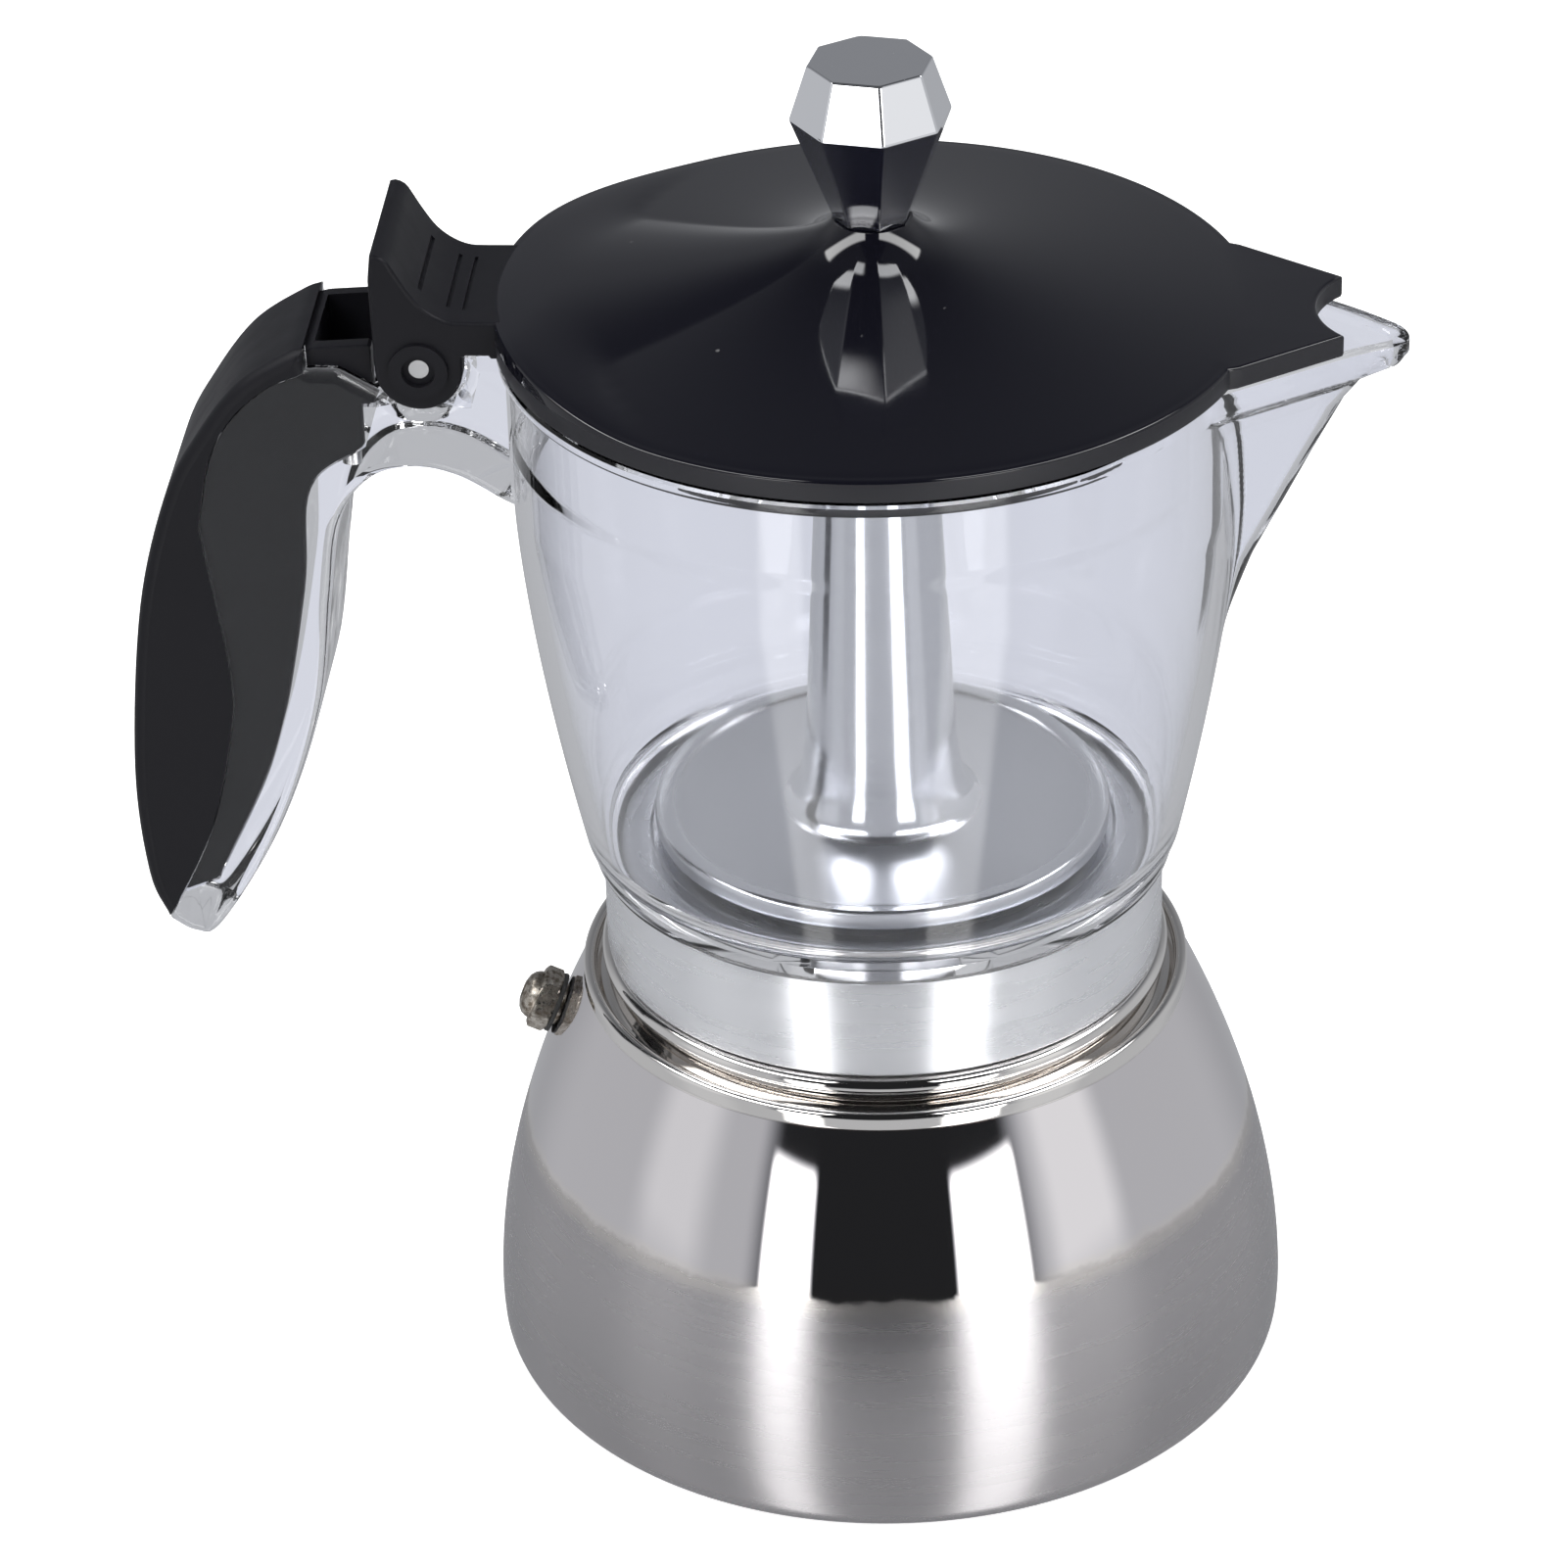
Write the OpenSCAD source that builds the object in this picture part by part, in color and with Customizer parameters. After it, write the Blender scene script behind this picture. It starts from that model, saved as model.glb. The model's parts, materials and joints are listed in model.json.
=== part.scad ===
// Stovetop coffee maker (moka pot) with a clear collecting jug.
// +Z is up, the origin is on the pot's axis at the base, the spout points to +X and the handle to -X.

/* [Boiler] */
// Widest radius of the boiler
boiler_r = 52.95; // [48:0.05:58]
// Height at which the widest radius lies
belly_z = 6; // [5:0.5:9]
// Height of the shell, up to the seam under its lip
shell_h = 54.6; // [50:0.1:60]
// Wall of the boiler shell and of its neck piece
shell_wall = 0.9; // [0.7:0.05:1.2]
// Radius of the rounded bottom edge
foot_round = 3.5; // [3:0.1:4]
// Distance of the base disc's edge inside the widest radius
base_inset = 6.35; // [5.8:0.05:9]
// Thickness of the base disc
base_t = 3.5; // [2.5:0.1:5]

/* [Neck] */
// Outer radius of the neck under its thread
neck_r = 33; // [32.6:0.1:33.4]
// Height of the rolled lip above the seam
lip_rise = 2.4; // [2:0.1:3]
// Height of the neck's shoulder above the seam
shoulder_rise = 5.7; // [5.2:0.1:7]
// Distance from the neck to the bead at its foot
bead_out = 4; // [3.8:0.05:4.4]
// Distance from the bead to the seam, across the channel and the lip
lip_out = 3.05; // [2.8:0.05:4]
// Height of the threaded neck above its shoulder
neck_h = 10.3; // [9.6:0.1:12]
// Advance of the thread in one turn
thread_pitch = 3; // [2.5:0.5:3]
// Height of the thread ridge above the neck's surface
thread_depth = 0.9; // [0.6:0.05:1]
// Radial and axial clearance of the thread
thread_gap = 0.2; // [0.15:0.05:0.3]

/* [Funnel] */
// Thickness of the funnel's sheet
funnel_wall = 0.7; // [0.6:0.05:1]
// Depth of the coffee basket
basket_depth = 22; // [16:0.5:26]
// Clearance between the basket and the neck's bore
basket_gap = 0.4; // [0.3:0.05:0.8]
// Outer radius of the funnel's stem
stem_r = 4.5; // [3.5:0.1:6]
// Gap between the stem's end and the boiler floor
stem_gap = 3.5; // [2:0.1:6]
// Radius of the holes in both filters
filter_hole_r = 0.8; // [0.5:0.05:1]

/* [Collar and column] */
// Wall of the threaded collar
collar_wall = 2.5; // [2:0.05:3]
// Gap between the closed collar and the neck's shoulder
collar_gap = 0.3; // [0.2:0.05:0.6]
// Thickness of the gasket
gasket_t = 1.8; // [1.4:0.1:2.6]
// Thickness of the collar's top web
web_t = 2; // [1.6:0.1:3]
// Thickness of the filter plate
filter_plate_t = 0.8; // [0.6:0.1:1.2]
// Thickness of the seal on the jug floor
seal_t = 1; // [0.8:0.1:1.6]
// Radius of the column's disc
disc_r = 29.8; // [27:0.1:31]
// Thickness of the column's disc
disc_t = 2.6; // [2:0.1:4]
// Radius of the threaded boss under the disc
boss_r = 9; // [7.5:0.1:10]
// Radius of the column's foot, where it flares
flare_r = 13.3; // [12:0.1:14]
// Radius of the column just above the flare
column_r = 9.8; // [9:0.1:10.5]
// Radius of the column at its top
column_top_r = 7.6; // [7:0.1:8.4]
// Height of the column above its disc
column_h = 50; // [44:0.5:54]
// Wall of the column
column_wall = 2.2; // [1.8:0.1:2.8]

/* [Jug] */
// Widest radius of the jug
jug_r = 46; // [45:0.1:48]
// Step from the collar out to the jug's flange
flange_out = 1.3; // [0.8:0.05:2]
// Step from the flange out to the jug's foot
foot_out = 0.9; // [0.6:0.05:1.6]
// Height from the jug's underside to the top of its rim
jug_h = 73.8; // [70:0.1:78]
// Wall of the jug
jug_wall = 2.2; // [1.8:0.1:2.6]
// Thickness of the jug floor
jug_floor = 2.8; // [2.4:0.1:3.6]
// Step from the jug's widest radius out to its rim bead
rim_bead = 1.2; // [0.8:0.05:2]
// Reach of the spout past the jug's widest radius
spout_reach = 20.7; // [16:0.1:22]
// Half of the spout's width where it leaves the body
spout_half_w = 17; // [14:0.5:18]

/* [Lid] */
// Overhang of the lid past the rim bead
lid_overhang = 0.4; // [0.2:0.05:1.2]
// Gap between the jug's rim and the lid
lid_gap = 0.4; // [0.3:0.05:0.6]
// Height of the lid's edge
lid_edge_h = 3; // [2.6:0.1:3.6]
// Rise of the lid's cone above its edge
lid_rise = 11.7; // [9:0.1:13]
// Wall of the lid
lid_wall = 2; // [1.6:0.1:2.4]
// Radius of the lid's flat seat for the knob
lid_neck_r = 5; // [4.9:0.05:5.6]
// How far the lever stands out past the handle on each side
lever_over = 0.7; // [0.6:0.05:1.5]
// Thickness of each cheek of the lever
cheek_t = 2.7; // [2.4:0.1:2.8]
// Radius of the lid's hinge knuckle
knuckle_r = 5.5; // [5.2:0.05:5.6]
// Radius of the hinge pin
pin_r = 1.25; // [1:0.05:1.5]
// Distance of the hinge axis from the jug's widest radius
hinge_out = 10; // [9.8:0.05:10.4]
// Depth of the hinge axis below the jug's rim
hinge_drop = 1.2; // [1:0.05:1.4]
// Radial clearance of the pin in the lid's cheeks
pin_gap = 0.05; // [0.03:0.01:0.09]

/* [Handle] */
// Width of the handle
handle_w = 21; // [19.8:0.1:21.4]
// Thickness of the clear handle beside its dark core
slot_wall = 2; // [1.9:0.05:2.2]
// Clearance between the insert and the clear handle
insert_gap = 0.12; // [0.08:0.01:0.2]
// Depth of the pocket in the insert's deck
pocket_depth = 10; // [7:0.5:11]

/* [Knob] */
// Height of the knob
knob_h = 20.9; // [17:0.1:24]
// Radius of the knob at its widest corners
knob_r = 9.9; // [8.5:0.1:12]
// Radius of the knob's top at its corners
knob_top_r = 7.7; // [6.5:0.1:8]
// Turn of the knob's corners about the axis
knob_turn = 12; // [0:1:45]

/* [Safety valve] */
// Direction of the valve about the pot's axis
valve_turn = 178; // [172:1:188]
// Distance of the valve's axis below the shell's seam
valve_drop = 8.6; // [8:0.1:14]
// Width across the flats of the valve's hexagon
valve_hex = 7.6; // [7:0.1:9]
// Length of the valve's hexagon
valve_hex_h = 2.6; // [2.4:0.1:4]
// Length of the valve's domed nose
valve_nose_h = 1.9; // [1.6:0.1:2.6]
// Radius of the valve's shank
valve_shank_r = 2.9; // [2.6:0.1:3.1]

/* [Hidden] */
$fn = 96;

// Heights from the base up: each level stands on the one below.
lip_z = shell_h + lip_rise;
shoulder_z = shell_h + shoulder_rise;
neck_top = shoulder_z + neck_h;
collar_z = shoulder_z + collar_gap;
gasket_z = neck_top + funnel_wall;
web_z = gasket_z + gasket_t;
jug_z = web_z + web_t;
floor_z = jug_z + jug_floor;
disc_z = floor_z + seal_t;
disc_top = disc_z + disc_t;
column_top = disc_top + column_h;
rim_z = jug_z + jug_h;
lid_z = rim_z + lid_gap;
lid_edge_top = lid_z + lid_edge_h;
knob_z = lid_edge_top + lid_rise;

neck_bore = neck_r - shell_wall - 0.5;
bead_r = neck_r + bead_out;
seam_r = bead_r + lip_out;
base_r = boiler_r - base_inset;
thread_out = neck_r + thread_depth;
thread_bore = thread_out + thread_gap;
basket_r = neck_bore - basket_gap;
gasket_r = thread_bore - 0.3;
gasket_in = basket_r - funnel_wall - 3;
collar_r = thread_bore + collar_wall;
flange_r = collar_r + flange_out;
jug_foot_r = flange_r + foot_out;
rim_r = jug_r + rim_bead;
lid_r = rim_r + lid_overhang;
shell_floor = base_t + shell_wall;
hinge_x = -(jug_r + hinge_out);
hinge_z = rim_z - hinge_drop;
lever_w = handle_w + 2 * lever_over;
slot_w = handle_w - 2 * slot_wall;
lever_in = lever_w / 2 - cheek_t;
ear_out = lever_in - 0.2;
ear_t = 1.8;
boss_bore = 4;
valve_z = shell_h - valve_drop;

// Curves: an arc, a smooth curve through a few points, and points moved to an anchor.
function arc(c, r, a, b, n = 8) =
    [for (i = [0 : n]) let (t = a + (b - a) * i / n) [c[0] + r * cos(t), c[1] + r * sin(t)]];
function knot(p, i) = p[min(max(i, 0), len(p) - 1)];
function smooth(p, n = 4) = concat(
    [for (i = [0 : len(p) - 2], k = [0 : n - 1]) let (t = k / n)
        0.5 * (2 * knot(p, i) + (knot(p, i + 1) - knot(p, i - 1)) * t
        + (2 * knot(p, i - 1) - 5 * knot(p, i) + 4 * knot(p, i + 1) - knot(p, i + 2)) * t * t
        + (3 * knot(p, i) - knot(p, i - 1) - 3 * knot(p, i + 1) + knot(p, i + 2)) * t * t * t)],
    [p[len(p) - 1]]);
function moved(p, d) = [for (q = p) q + d];
function back(p) = [for (i = [len(p) - 1 : -1 : 0]) p[i]];
function distinct(p) = [for (i = [0 : len(p) - 1]) if (norm(p[i] - p[(i + 1) % len(p)]) > 0.02) p[i]];

// A solid through rings of points: each ring runs counter-clockwise seen from the last ring's end.
module loft(rings) {
    n = len(rings[0]);
    m = len(rings);
    polyhedron(points = [for (r = rings, p = r) p],
        faces = concat([[for (j = [0 : n - 1]) j]],
            [for (i = [0 : m - 2], j = [0 : n - 1], side = [0, 1]) let (k = (j + 1) % n)
                side == 0 ? [i * n + j, (i + 1) * n + j, (i + 1) * n + k]
                          : [i * n + j, (i + 1) * n + k, i * n + k]],
            [[for (j = [n - 1 : -1 : 0]) (m - 1) * n + j]]), convexity = 6);
}
// A helical ridge on a cylinder: it starts and ends at no height, and grows outwards when side is 1.
module thread(root_r, side, z, turns) {
    steps = round(turns * 40);
    w = thread_pitch / 4;
    loft([for (i = [0 : steps]) let (t = i / steps, a = 360 * turns * t,
        d = side * thread_depth * min(1, 0.02 + 12 * t, 0.02 + 12 * (1 - t)), h = z + thread_pitch * turns * t,
        section = side > 0
            ? [[root_r - 0.3, -w], [root_r - 0.3, w], [root_r + d, w * 0.6], [root_r + d, -w * 0.6]]
            : [[root_r + d, -w * 0.6], [root_r + d, w * 0.6], [root_r + 0.3, w], [root_r + 0.3, -w]])
        [for (p = section) [p[0] * cos(a), p[0] * sin(a), h + p[1]]]]);
}
// Outer radius of the boiler shell at a height, and its slope there.
function belly(z) = z < belly_z
    ? boiler_r - 0.6 * pow((belly_z - z) / belly_z, 2)
    : boiler_r - (boiler_r - seam_r) * pow((z - belly_z) / (shell_h - belly_z), 1.85);
function belly_slope(z) = (belly(z + 0.1) - belly(z - 0.1)) / 0.2;
// The valve stands square to the shell.
valve_tilt = atan(-belly_slope(valve_z));
// Outer radius of the jug at a height.
jug_bulge_h = 50;
function jug_side(z) =
    jug_r - (jug_r - jug_foot_r) * pow(max(0, 1 - (z - floor_z) / jug_bulge_h), 1.5);

// Boiler shell: a drawn wall that folds in under the bottom edge and rises over the base disc.
module boiler_shell() {
    foot_x = belly(foot_round) - foot_round;
    heights = [for (i = [1 : 20]) foot_round + (shell_h - foot_round) * i / 20];
    fold_r = base_r + 0.3;
    fold_z = 0.4;
    outer = concat([[fold_r, fold_z]], arc([foot_x, foot_round], foot_round, 280, 360),
        [for (z = heights) [belly(z), z]]);
    inner = concat([[seam_r - shell_wall, shell_h]],
        [for (i = [18 : -1 : 0]) let (z = heights[i], k = shell_wall / sqrt(1 + pow(belly_slope(z), 2)))
            [belly(z) - k, z + k * belly_slope(z)]],
        arc([foot_x, foot_round], foot_round - shell_wall, 360, 270, 6),
        [[fold_r + shell_wall, fold_z + shell_wall], [fold_r + shell_wall, shell_floor - 0.3],
         [fold_r + shell_wall - 0.3, shell_floor], [0, shell_floor], [0, base_t], [fold_r, base_t]]);
    color("silver") difference() {
        union() {
            rotate_extrude() polygon(concat(outer, inner));
            valve_place() translate([0, 0, valve_pad_z])
                cylinder(r = valve_hex / 2 + 0.9, h = valve_face - valve_pad_z);
        }
        valve_place() translate([0, 0, -6]) cylinder(r = valve_shank_r + 0.15, h = 12);
    }
}

// Boiler neck: the rolled lip, the channel inside it, the bead and the threaded neck.
module boiler_neck() {
    lip_r = seam_r - 1;
    roll = 0.75;
    channel = 1;
    profile = concat([[seam_r, shell_h], [lip_r + roll, lip_z - roll]],
        arc([lip_r, lip_z - roll], roll, 0, 180),
        [[lip_r - roll, shell_h + channel], [lip_r - roll - 0.3, shell_h + 0.6], [bead_r + 0.5, shell_h + 0.6],
         [bead_r - 0.2, shell_h + channel + 0.3], [bead_r - 0.2, shoulder_z - 2.4]],
        arc([bead_r - 1, shoulder_z - 1.1], 1.1, -30, 90, 6),
        [[neck_r + 0.5, shoulder_z], [neck_r, shoulder_z + 0.5], [neck_r, neck_top - 0.4], [neck_r - 0.4, neck_top],
         [neck_bore, neck_top], [neck_bore, shoulder_z - 1], [neck_bore + 0.5, shoulder_z - 1.6],
         [bead_r - 1.8, shoulder_z - 2], [bead_r - 1.4, shell_h - 0.2], [bead_r - 0.6, shell_h - 0.7],
         [seam_r - shell_wall - 0.4, shell_h - 0.7], [seam_r - shell_wall - 0.4, shell_h]]);
    color("gainsboro") union() {
        rotate_extrude() polygon(profile);
        thread(neck_r, 1, thread_z, neck_turns);
    }
}
thread_z = shoulder_z + 1.8;
neck_turns = (neck_h - 3.2) / thread_pitch;

// Base disc: the magnetic plate under the boiler, with rounded edges.
module base_disc() {
    edge = 0.8;
    color("lightgray") rotate_extrude() polygon(concat([[0, 0]],
        arc([base_r - edge, edge], edge, 270, 360, 4), [[base_r, base_t], [0, base_t]]));
}

// Places its children on the shell with +Z along the valve's axis, pointing out.
module valve_place() {
    rotate([0, 0, valve_turn]) translate([belly(valve_z), 0, valve_z]) rotate([0, 90 - valve_tilt, 0])
        children();
}
valve_face = 0.2;
valve_pad_z = -shell_wall - 0.4;
washer_t = 0.6;
hex_z = valve_face + washer_t;
hex_top = hex_z + valve_hex_h;
nut_t = 2.4;
shank_end = valve_pad_z - nut_t - 1;
valve_bore = valve_shank_r - 0.8;
valve_pin_r = 1.05;
seat_z = shank_end + 0.8;
roof_z = hex_top - 1.4;
poppet_t = 0.9;

module valve_washer() {
    color("dimgray") valve_place() translate([0, 0, valve_face]) difference() {
        cylinder(r = valve_hex / 2 + 0.3, h = washer_t);
        translate([0, 0, -1]) cylinder(r = valve_shank_r + 0.1, h = washer_t + 2);
    }
}

module valve_body() {
    nose_r = valve_hex / 2 - 0.5;
    color("darkgoldenrod") valve_place() difference() {
        union() {
            translate([0, 0, hex_z]) cylinder(r = valve_hex / sqrt(3), h = valve_hex_h, $fn = 6);
            translate([0, 0, hex_top]) rotate_extrude() polygon(concat([[0, -0.5], [nose_r, -0.5], [nose_r, 0]],
                [for (t = [15 : 15 : 60]) [nose_r * cos(t), valve_nose_h * sin(t)]],
                [[valve_pin_r + 0.35, valve_nose_h], [0, valve_nose_h]]));
            translate([0, 0, shank_end]) cylinder(r = valve_shank_r, h = hex_z - shank_end + 0.5);
        }
        translate([0, 0, seat_z]) cylinder(r = valve_bore, h = roof_z - seat_z);
        translate([0, 0, shank_end - 1]) cylinder(r = valve_pin_r + 0.05, h = hex_top + valve_nose_h - shank_end + 2);
    }
}

module valve_nut() {
    color("silver") valve_place() translate([0, 0, valve_pad_z - nut_t]) difference() {
        cylinder(r = 5, h = nut_t, $fn = 6);
        translate([0, 0, -1]) cylinder(r = valve_shank_r + 0.03, h = nut_t + 2);
    }
}

// Valve pin: the poppet that seals the seat and the stem that shows in the nose.
module valve_pin() {
    color("lightgray") valve_place() union() {
        translate([0, 0, seat_z]) cylinder(r = valve_bore - 0.15, h = poppet_t);
        translate([0, 0, seat_z]) cylinder(r = valve_pin_r, h = hex_top + valve_nose_h - 0.5 - seat_z);
    }
}

module valve_spring() {
    wire = 0.3;
    turns = 5;
    end_gap = 0.03;
    z_low = seat_z + poppet_t + wire + end_gap;
    rise = roof_z - z_low - wire - end_gap;
    mean_r = (valve_bore + valve_pin_r) / 2;
    color("gray") valve_place() loft([for (i = [0 : turns * 14]) let (t = i / (turns * 14), a = 360 * turns * t)
        [for (k = [0 : 5]) let (r = mean_r + wire * cos(60 * k))
            [r * cos(a), r * sin(a), z_low + rise * t - wire * sin(60 * k)]]]);
}

// Funnel: its flange hangs on the neck's rim, and the tube in its short neck reaches down into the water.
basket_z = neck_top - basket_depth;
cone_drop = 8;
socket_h = 3;
tube_top = basket_z - cone_drop;
module funnel() {
    ledge = 2.6;
    inner_r = basket_r - funnel_wall;
    bore = stem_r + 0.03;
    color("lightgray") rotate_extrude() polygon([[neck_r, neck_top], [neck_r, gasket_z], [inner_r, gasket_z],
        [inner_r, basket_z], [inner_r - ledge, basket_z], [bore, tube_top + 0.8], [bore, tube_top - socket_h],
        [bore + funnel_wall, tube_top - socket_h], [bore + funnel_wall, tube_top],
        [inner_r - ledge, basket_z - funnel_wall], [basket_r - 0.6, basket_z - funnel_wall],
        [basket_r, basket_z - funnel_wall + 0.6], [basket_r, neck_top]]);
}
module funnel_tube() {
    low = shell_floor + stem_gap;
    color("lightgray") translate([0, 0, low]) difference() {
        cylinder(r = stem_r, h = tube_top - low);
        translate([0, 0, -1]) cylinder(r = stem_r - funnel_wall, h = tube_top - low + 2);
    }
}

// A round plate with rings of holes.
module sieve(r, t, rings) {
    step = (r - 3) / (rings + 0.5);
    difference() {
        cylinder(r = r, h = t);
        for (i = [0 : rings], k = [0 : max(0, 6 * i - 1)])
            rotate([0, 0, i == 0 ? 0 : 60 * k / i]) translate([step * i, 0, -1])
                cylinder(r = filter_hole_r, h = t + 2, $fn = 16);
    }
}
module funnel_filter() {
    color("silver") translate([0, 0, basket_z]) sieve(basket_r - funnel_wall - 0.15, 0.6, 4);
}

// Gasket: a soft ring with a ledge that holds the filter plate against the collar's web.
module gasket() {
    color("whitesmoke") rotate_extrude() polygon([[gasket_in, gasket_z], [gasket_r, gasket_z],
        [gasket_r, web_z], [gasket_in + 1.6, web_z], [gasket_in + 1.6, web_z - filter_plate_t],
        [gasket_in, web_z - filter_plate_t]]);
}
module filter_plate() {
    color("silver") translate([0, 0, web_z - filter_plate_t]) sieve(gasket_in + 1.5, filter_plate_t, 4);
}

// Collar: the threaded aluminium ring under the jug, closed by a web that takes the column's boss.
module collar() {
    chamber_r = gasket_in - 1;
    chamber_h = web_t / 2;
    chamfer = 0.8;
    color("lightsteelblue") union() {
        rotate_extrude() polygon([[thread_bore + 0.4, collar_z], [collar_r - 0.4, collar_z],
            [collar_r, collar_z + 0.4], [collar_r, jug_z - chamfer], [collar_r - chamfer, jug_z],
            [boss_r + 0.03, jug_z], [boss_r + 0.03, web_z + chamber_h], [chamber_r, web_z + chamber_h],
            [chamber_r, web_z], [thread_bore, web_z], [thread_bore, collar_z + 0.4]]);
        thread(thread_bore, -1, thread_z + thread_pitch / 2, neck_turns - 0.6);
    }
}

// Column: the disc that clamps the jug's floor, its boss in the collar, and the hollow riser.
module column() {
    rim = 0.5;
    plate_z = disc_top - rim;
    color("gainsboro") rotate_extrude() polygon(concat(
        [[boss_bore, web_z + web_t / 2], [boss_r, web_z + web_t / 2], [boss_r, disc_z], [disc_r - 0.8, disc_z]],
        arc([disc_r - 0.9, disc_z + 0.9], 0.9, 290, 360, 3), arc([disc_r - 0.9, disc_top - 0.9], 0.9, 0, 110, 5),
        [[disc_r - 2, plate_z]],
        smooth([[flare_r, plate_z], [flare_r - 1.9, plate_z + 1.6], [column_r + 0.6, plate_z + 4.5],
                [column_r, plate_z + 9]]),
        [[column_top_r, column_top], [column_top_r - column_wall, column_top],
         [column_top_r - column_wall, plate_z + 2], [boss_bore, plate_z]]));
}

// Column cap: a domed plug with two side outlets.
module column_cap() {
    plug_r = column_top_r - column_wall - 0.05;
    dome_h = 6.5;
    color("gainsboro") difference() {
        translate([0, 0, column_top]) rotate_extrude() polygon(concat(
            [[0, -4], [plug_r, -4], [plug_r, 0], [column_top_r + 0.3, 0]],
            [for (t = [0 : 15 : 90]) [(column_top_r + 0.3) * cos(t), 1.5 + (dome_h - 1.5) * sin(t)]]));
        translate([0, 0, column_top - 5]) cylinder(r = plug_r - 1.4, h = 8.4);
        translate([0, column_top_r + 2, column_top + 2]) rotate([90, 0, 0])
            cylinder(r = 1.5, h = 2 * column_top_r + 4);
    }
}

module jug_seal() {
    color("white") translate([0, 0, floor_z]) difference() {
        cylinder(r = disc_r - 2.5, h = seal_t);
        translate([0, 0, -1]) cylinder(r = disc_r - 9, h = seal_t + 2);
    }
}

// Spout: a rounded V that leans out along a straight ridge, with a beak under the rim. Its skin is
// drawn once at full size and once thinner by the wall.
spout_rise = 41;
spout_start = -2.2;
beak_out = 3.8;
beak_h = 5;
function vee(nose, x, half_w, t, deep) = let (c = -nose, b = [x - c, half_w],
        turn = atan2(b[1], b[0]) - acos(nose / norm(b)), root = b + [c, 0] - t * [cos(turn), sin(turn)])
    concat([[deep, -root[1]], [root[0], -root[1]]],
        [for (i = [-7 : 2 : 7]) let (a = turn * i / 7) [c + (nose - t) * cos(a), (nose - t) * sin(a)]],
        [[root[0], root[1]], [deep, root[1]]]);
module spout_skin(t, deep, rise) {
    ridge_out = spout_reach - beak_out;
    lean = atan2(ridge_out - spout_start, spout_rise);
    beak_x = jug_r + spout_reach;
    intersection() {
        translate([jug_r + ridge_out, 0, rim_z]) rotate([0, lean, 0]) translate([0, 0, -spout_rise * 1.5])
            linear_extrude(height = spout_rise * 2)
            polygon(vee(6.5, -(ridge_out + 4.5) * cos(lean), spout_half_w, t, -deep * cos(lean)));
        translate([0, -jug_r, rim_z - spout_rise * 1.3]) cube([3 * jug_r, 2 * jug_r, spout_rise * 1.3 + rise]);
    }
    translate([beak_x, 0, rim_z - beak_h + 0.9 * t]) linear_extrude(height = beak_h - 0.9 * t + rise)
        polygon(vee(5.5, -18, 10.5, t, -19));
}

// Handle outlines in the X-Z plane, measured from the hinge axis.
hinge = [hinge_x, hinge_z];
split_top = [[-13, -0.5], [-19, -3], [-24, -7.5], [-27.2, -13.5], [-29.2, -23]];
split_low = [[-29.2, -23], [-26.6, -44.5], [-27.5, -55], [-31, -68.5], [-37.5, -82]];
grip_inside = [[-37.5, -82], [-34, -84], [-31, -83], [-22, -68], [-15.6, -50], [-13, -33], [-11, -21.5],
    [-7, -16], [-1.5, -14.5], [4, -15.7], [10, -19.3], [14, -21]];
spine = [[-14.4, 2.1], [-17, 1.1], [-23.5, -3.3], [-29, -10.5], [-33.5, -19], [-38, -35.5], [-40.5, -59],
    [-39.8, -75], [-37.5, -82]];
core_inside = [[-7.5, -11.8], [-14.8, -17.8], [-16.5, -32.5], [-21.6, -56], [-30.5, -76]];
deck = 2.1;
bracket_floor = -6.2;
pocket_x = [-13.5, -6];
core_front = -6.2;
tail_cut = -78;
screw_x = -10.2;
screw_r = 1.25;
screw_gap = 0.12;

// Extrudes an X-Z outline given from the hinge axis between two distances from the middle plane.
module side_plate(outline, y0, y1) {
    translate([0, y1, 0]) rotate([90, 0, 0]) linear_extrude(height = y1 - y0)
        polygon(moved(distinct(outline), hinge));
}
module both_sides(outline, y0, y1) {
    side_plate(outline, y0, y1);
    side_plate(outline, -y1, -y0);
}

// Jug: the clear body with its floor, rim and spout.
jug_steps = [for (i = [0 : 24]) floor_z + 0.8 + (rim_z - 3.4 - floor_z) * i / 24];
module jug_outside() {
    rotate_extrude() polygon(concat([[0, jug_z], [flange_r - 0.5, jug_z], [flange_r, jug_z + 0.5],
        [flange_r, floor_z - 0.3]], [for (z = jug_steps) [jug_side(z), z]],
        [[rim_r, rim_z - 1.6], [rim_r, rim_z - 0.3], [rim_r - 0.3, rim_z], [0, rim_z]]));
}
module jug() {
    foot_blend = 3;
    color("lavender", 0.4) difference() {
        union() {
            jug_outside();
            spout_skin(0, 28, 0);
        }
        rotate_extrude() polygon(concat([[0, floor_z]],
            arc([jug_side(floor_z) - jug_wall - foot_blend, floor_z + foot_blend], foot_blend, 270, 345, 5),
            [for (z = jug_steps) if (z > floor_z + foot_blend) [jug_side(z) - jug_wall, z]],
            [[jug_r - jug_wall, rim_z + 1], [0, rim_z + 1]]));
        spout_skin(jug_wall, 34, 1);
        translate([0, 0, jug_z - 1]) cylinder(r = boss_r + 0.3, h = jug_floor + 2);
    }
}

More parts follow.
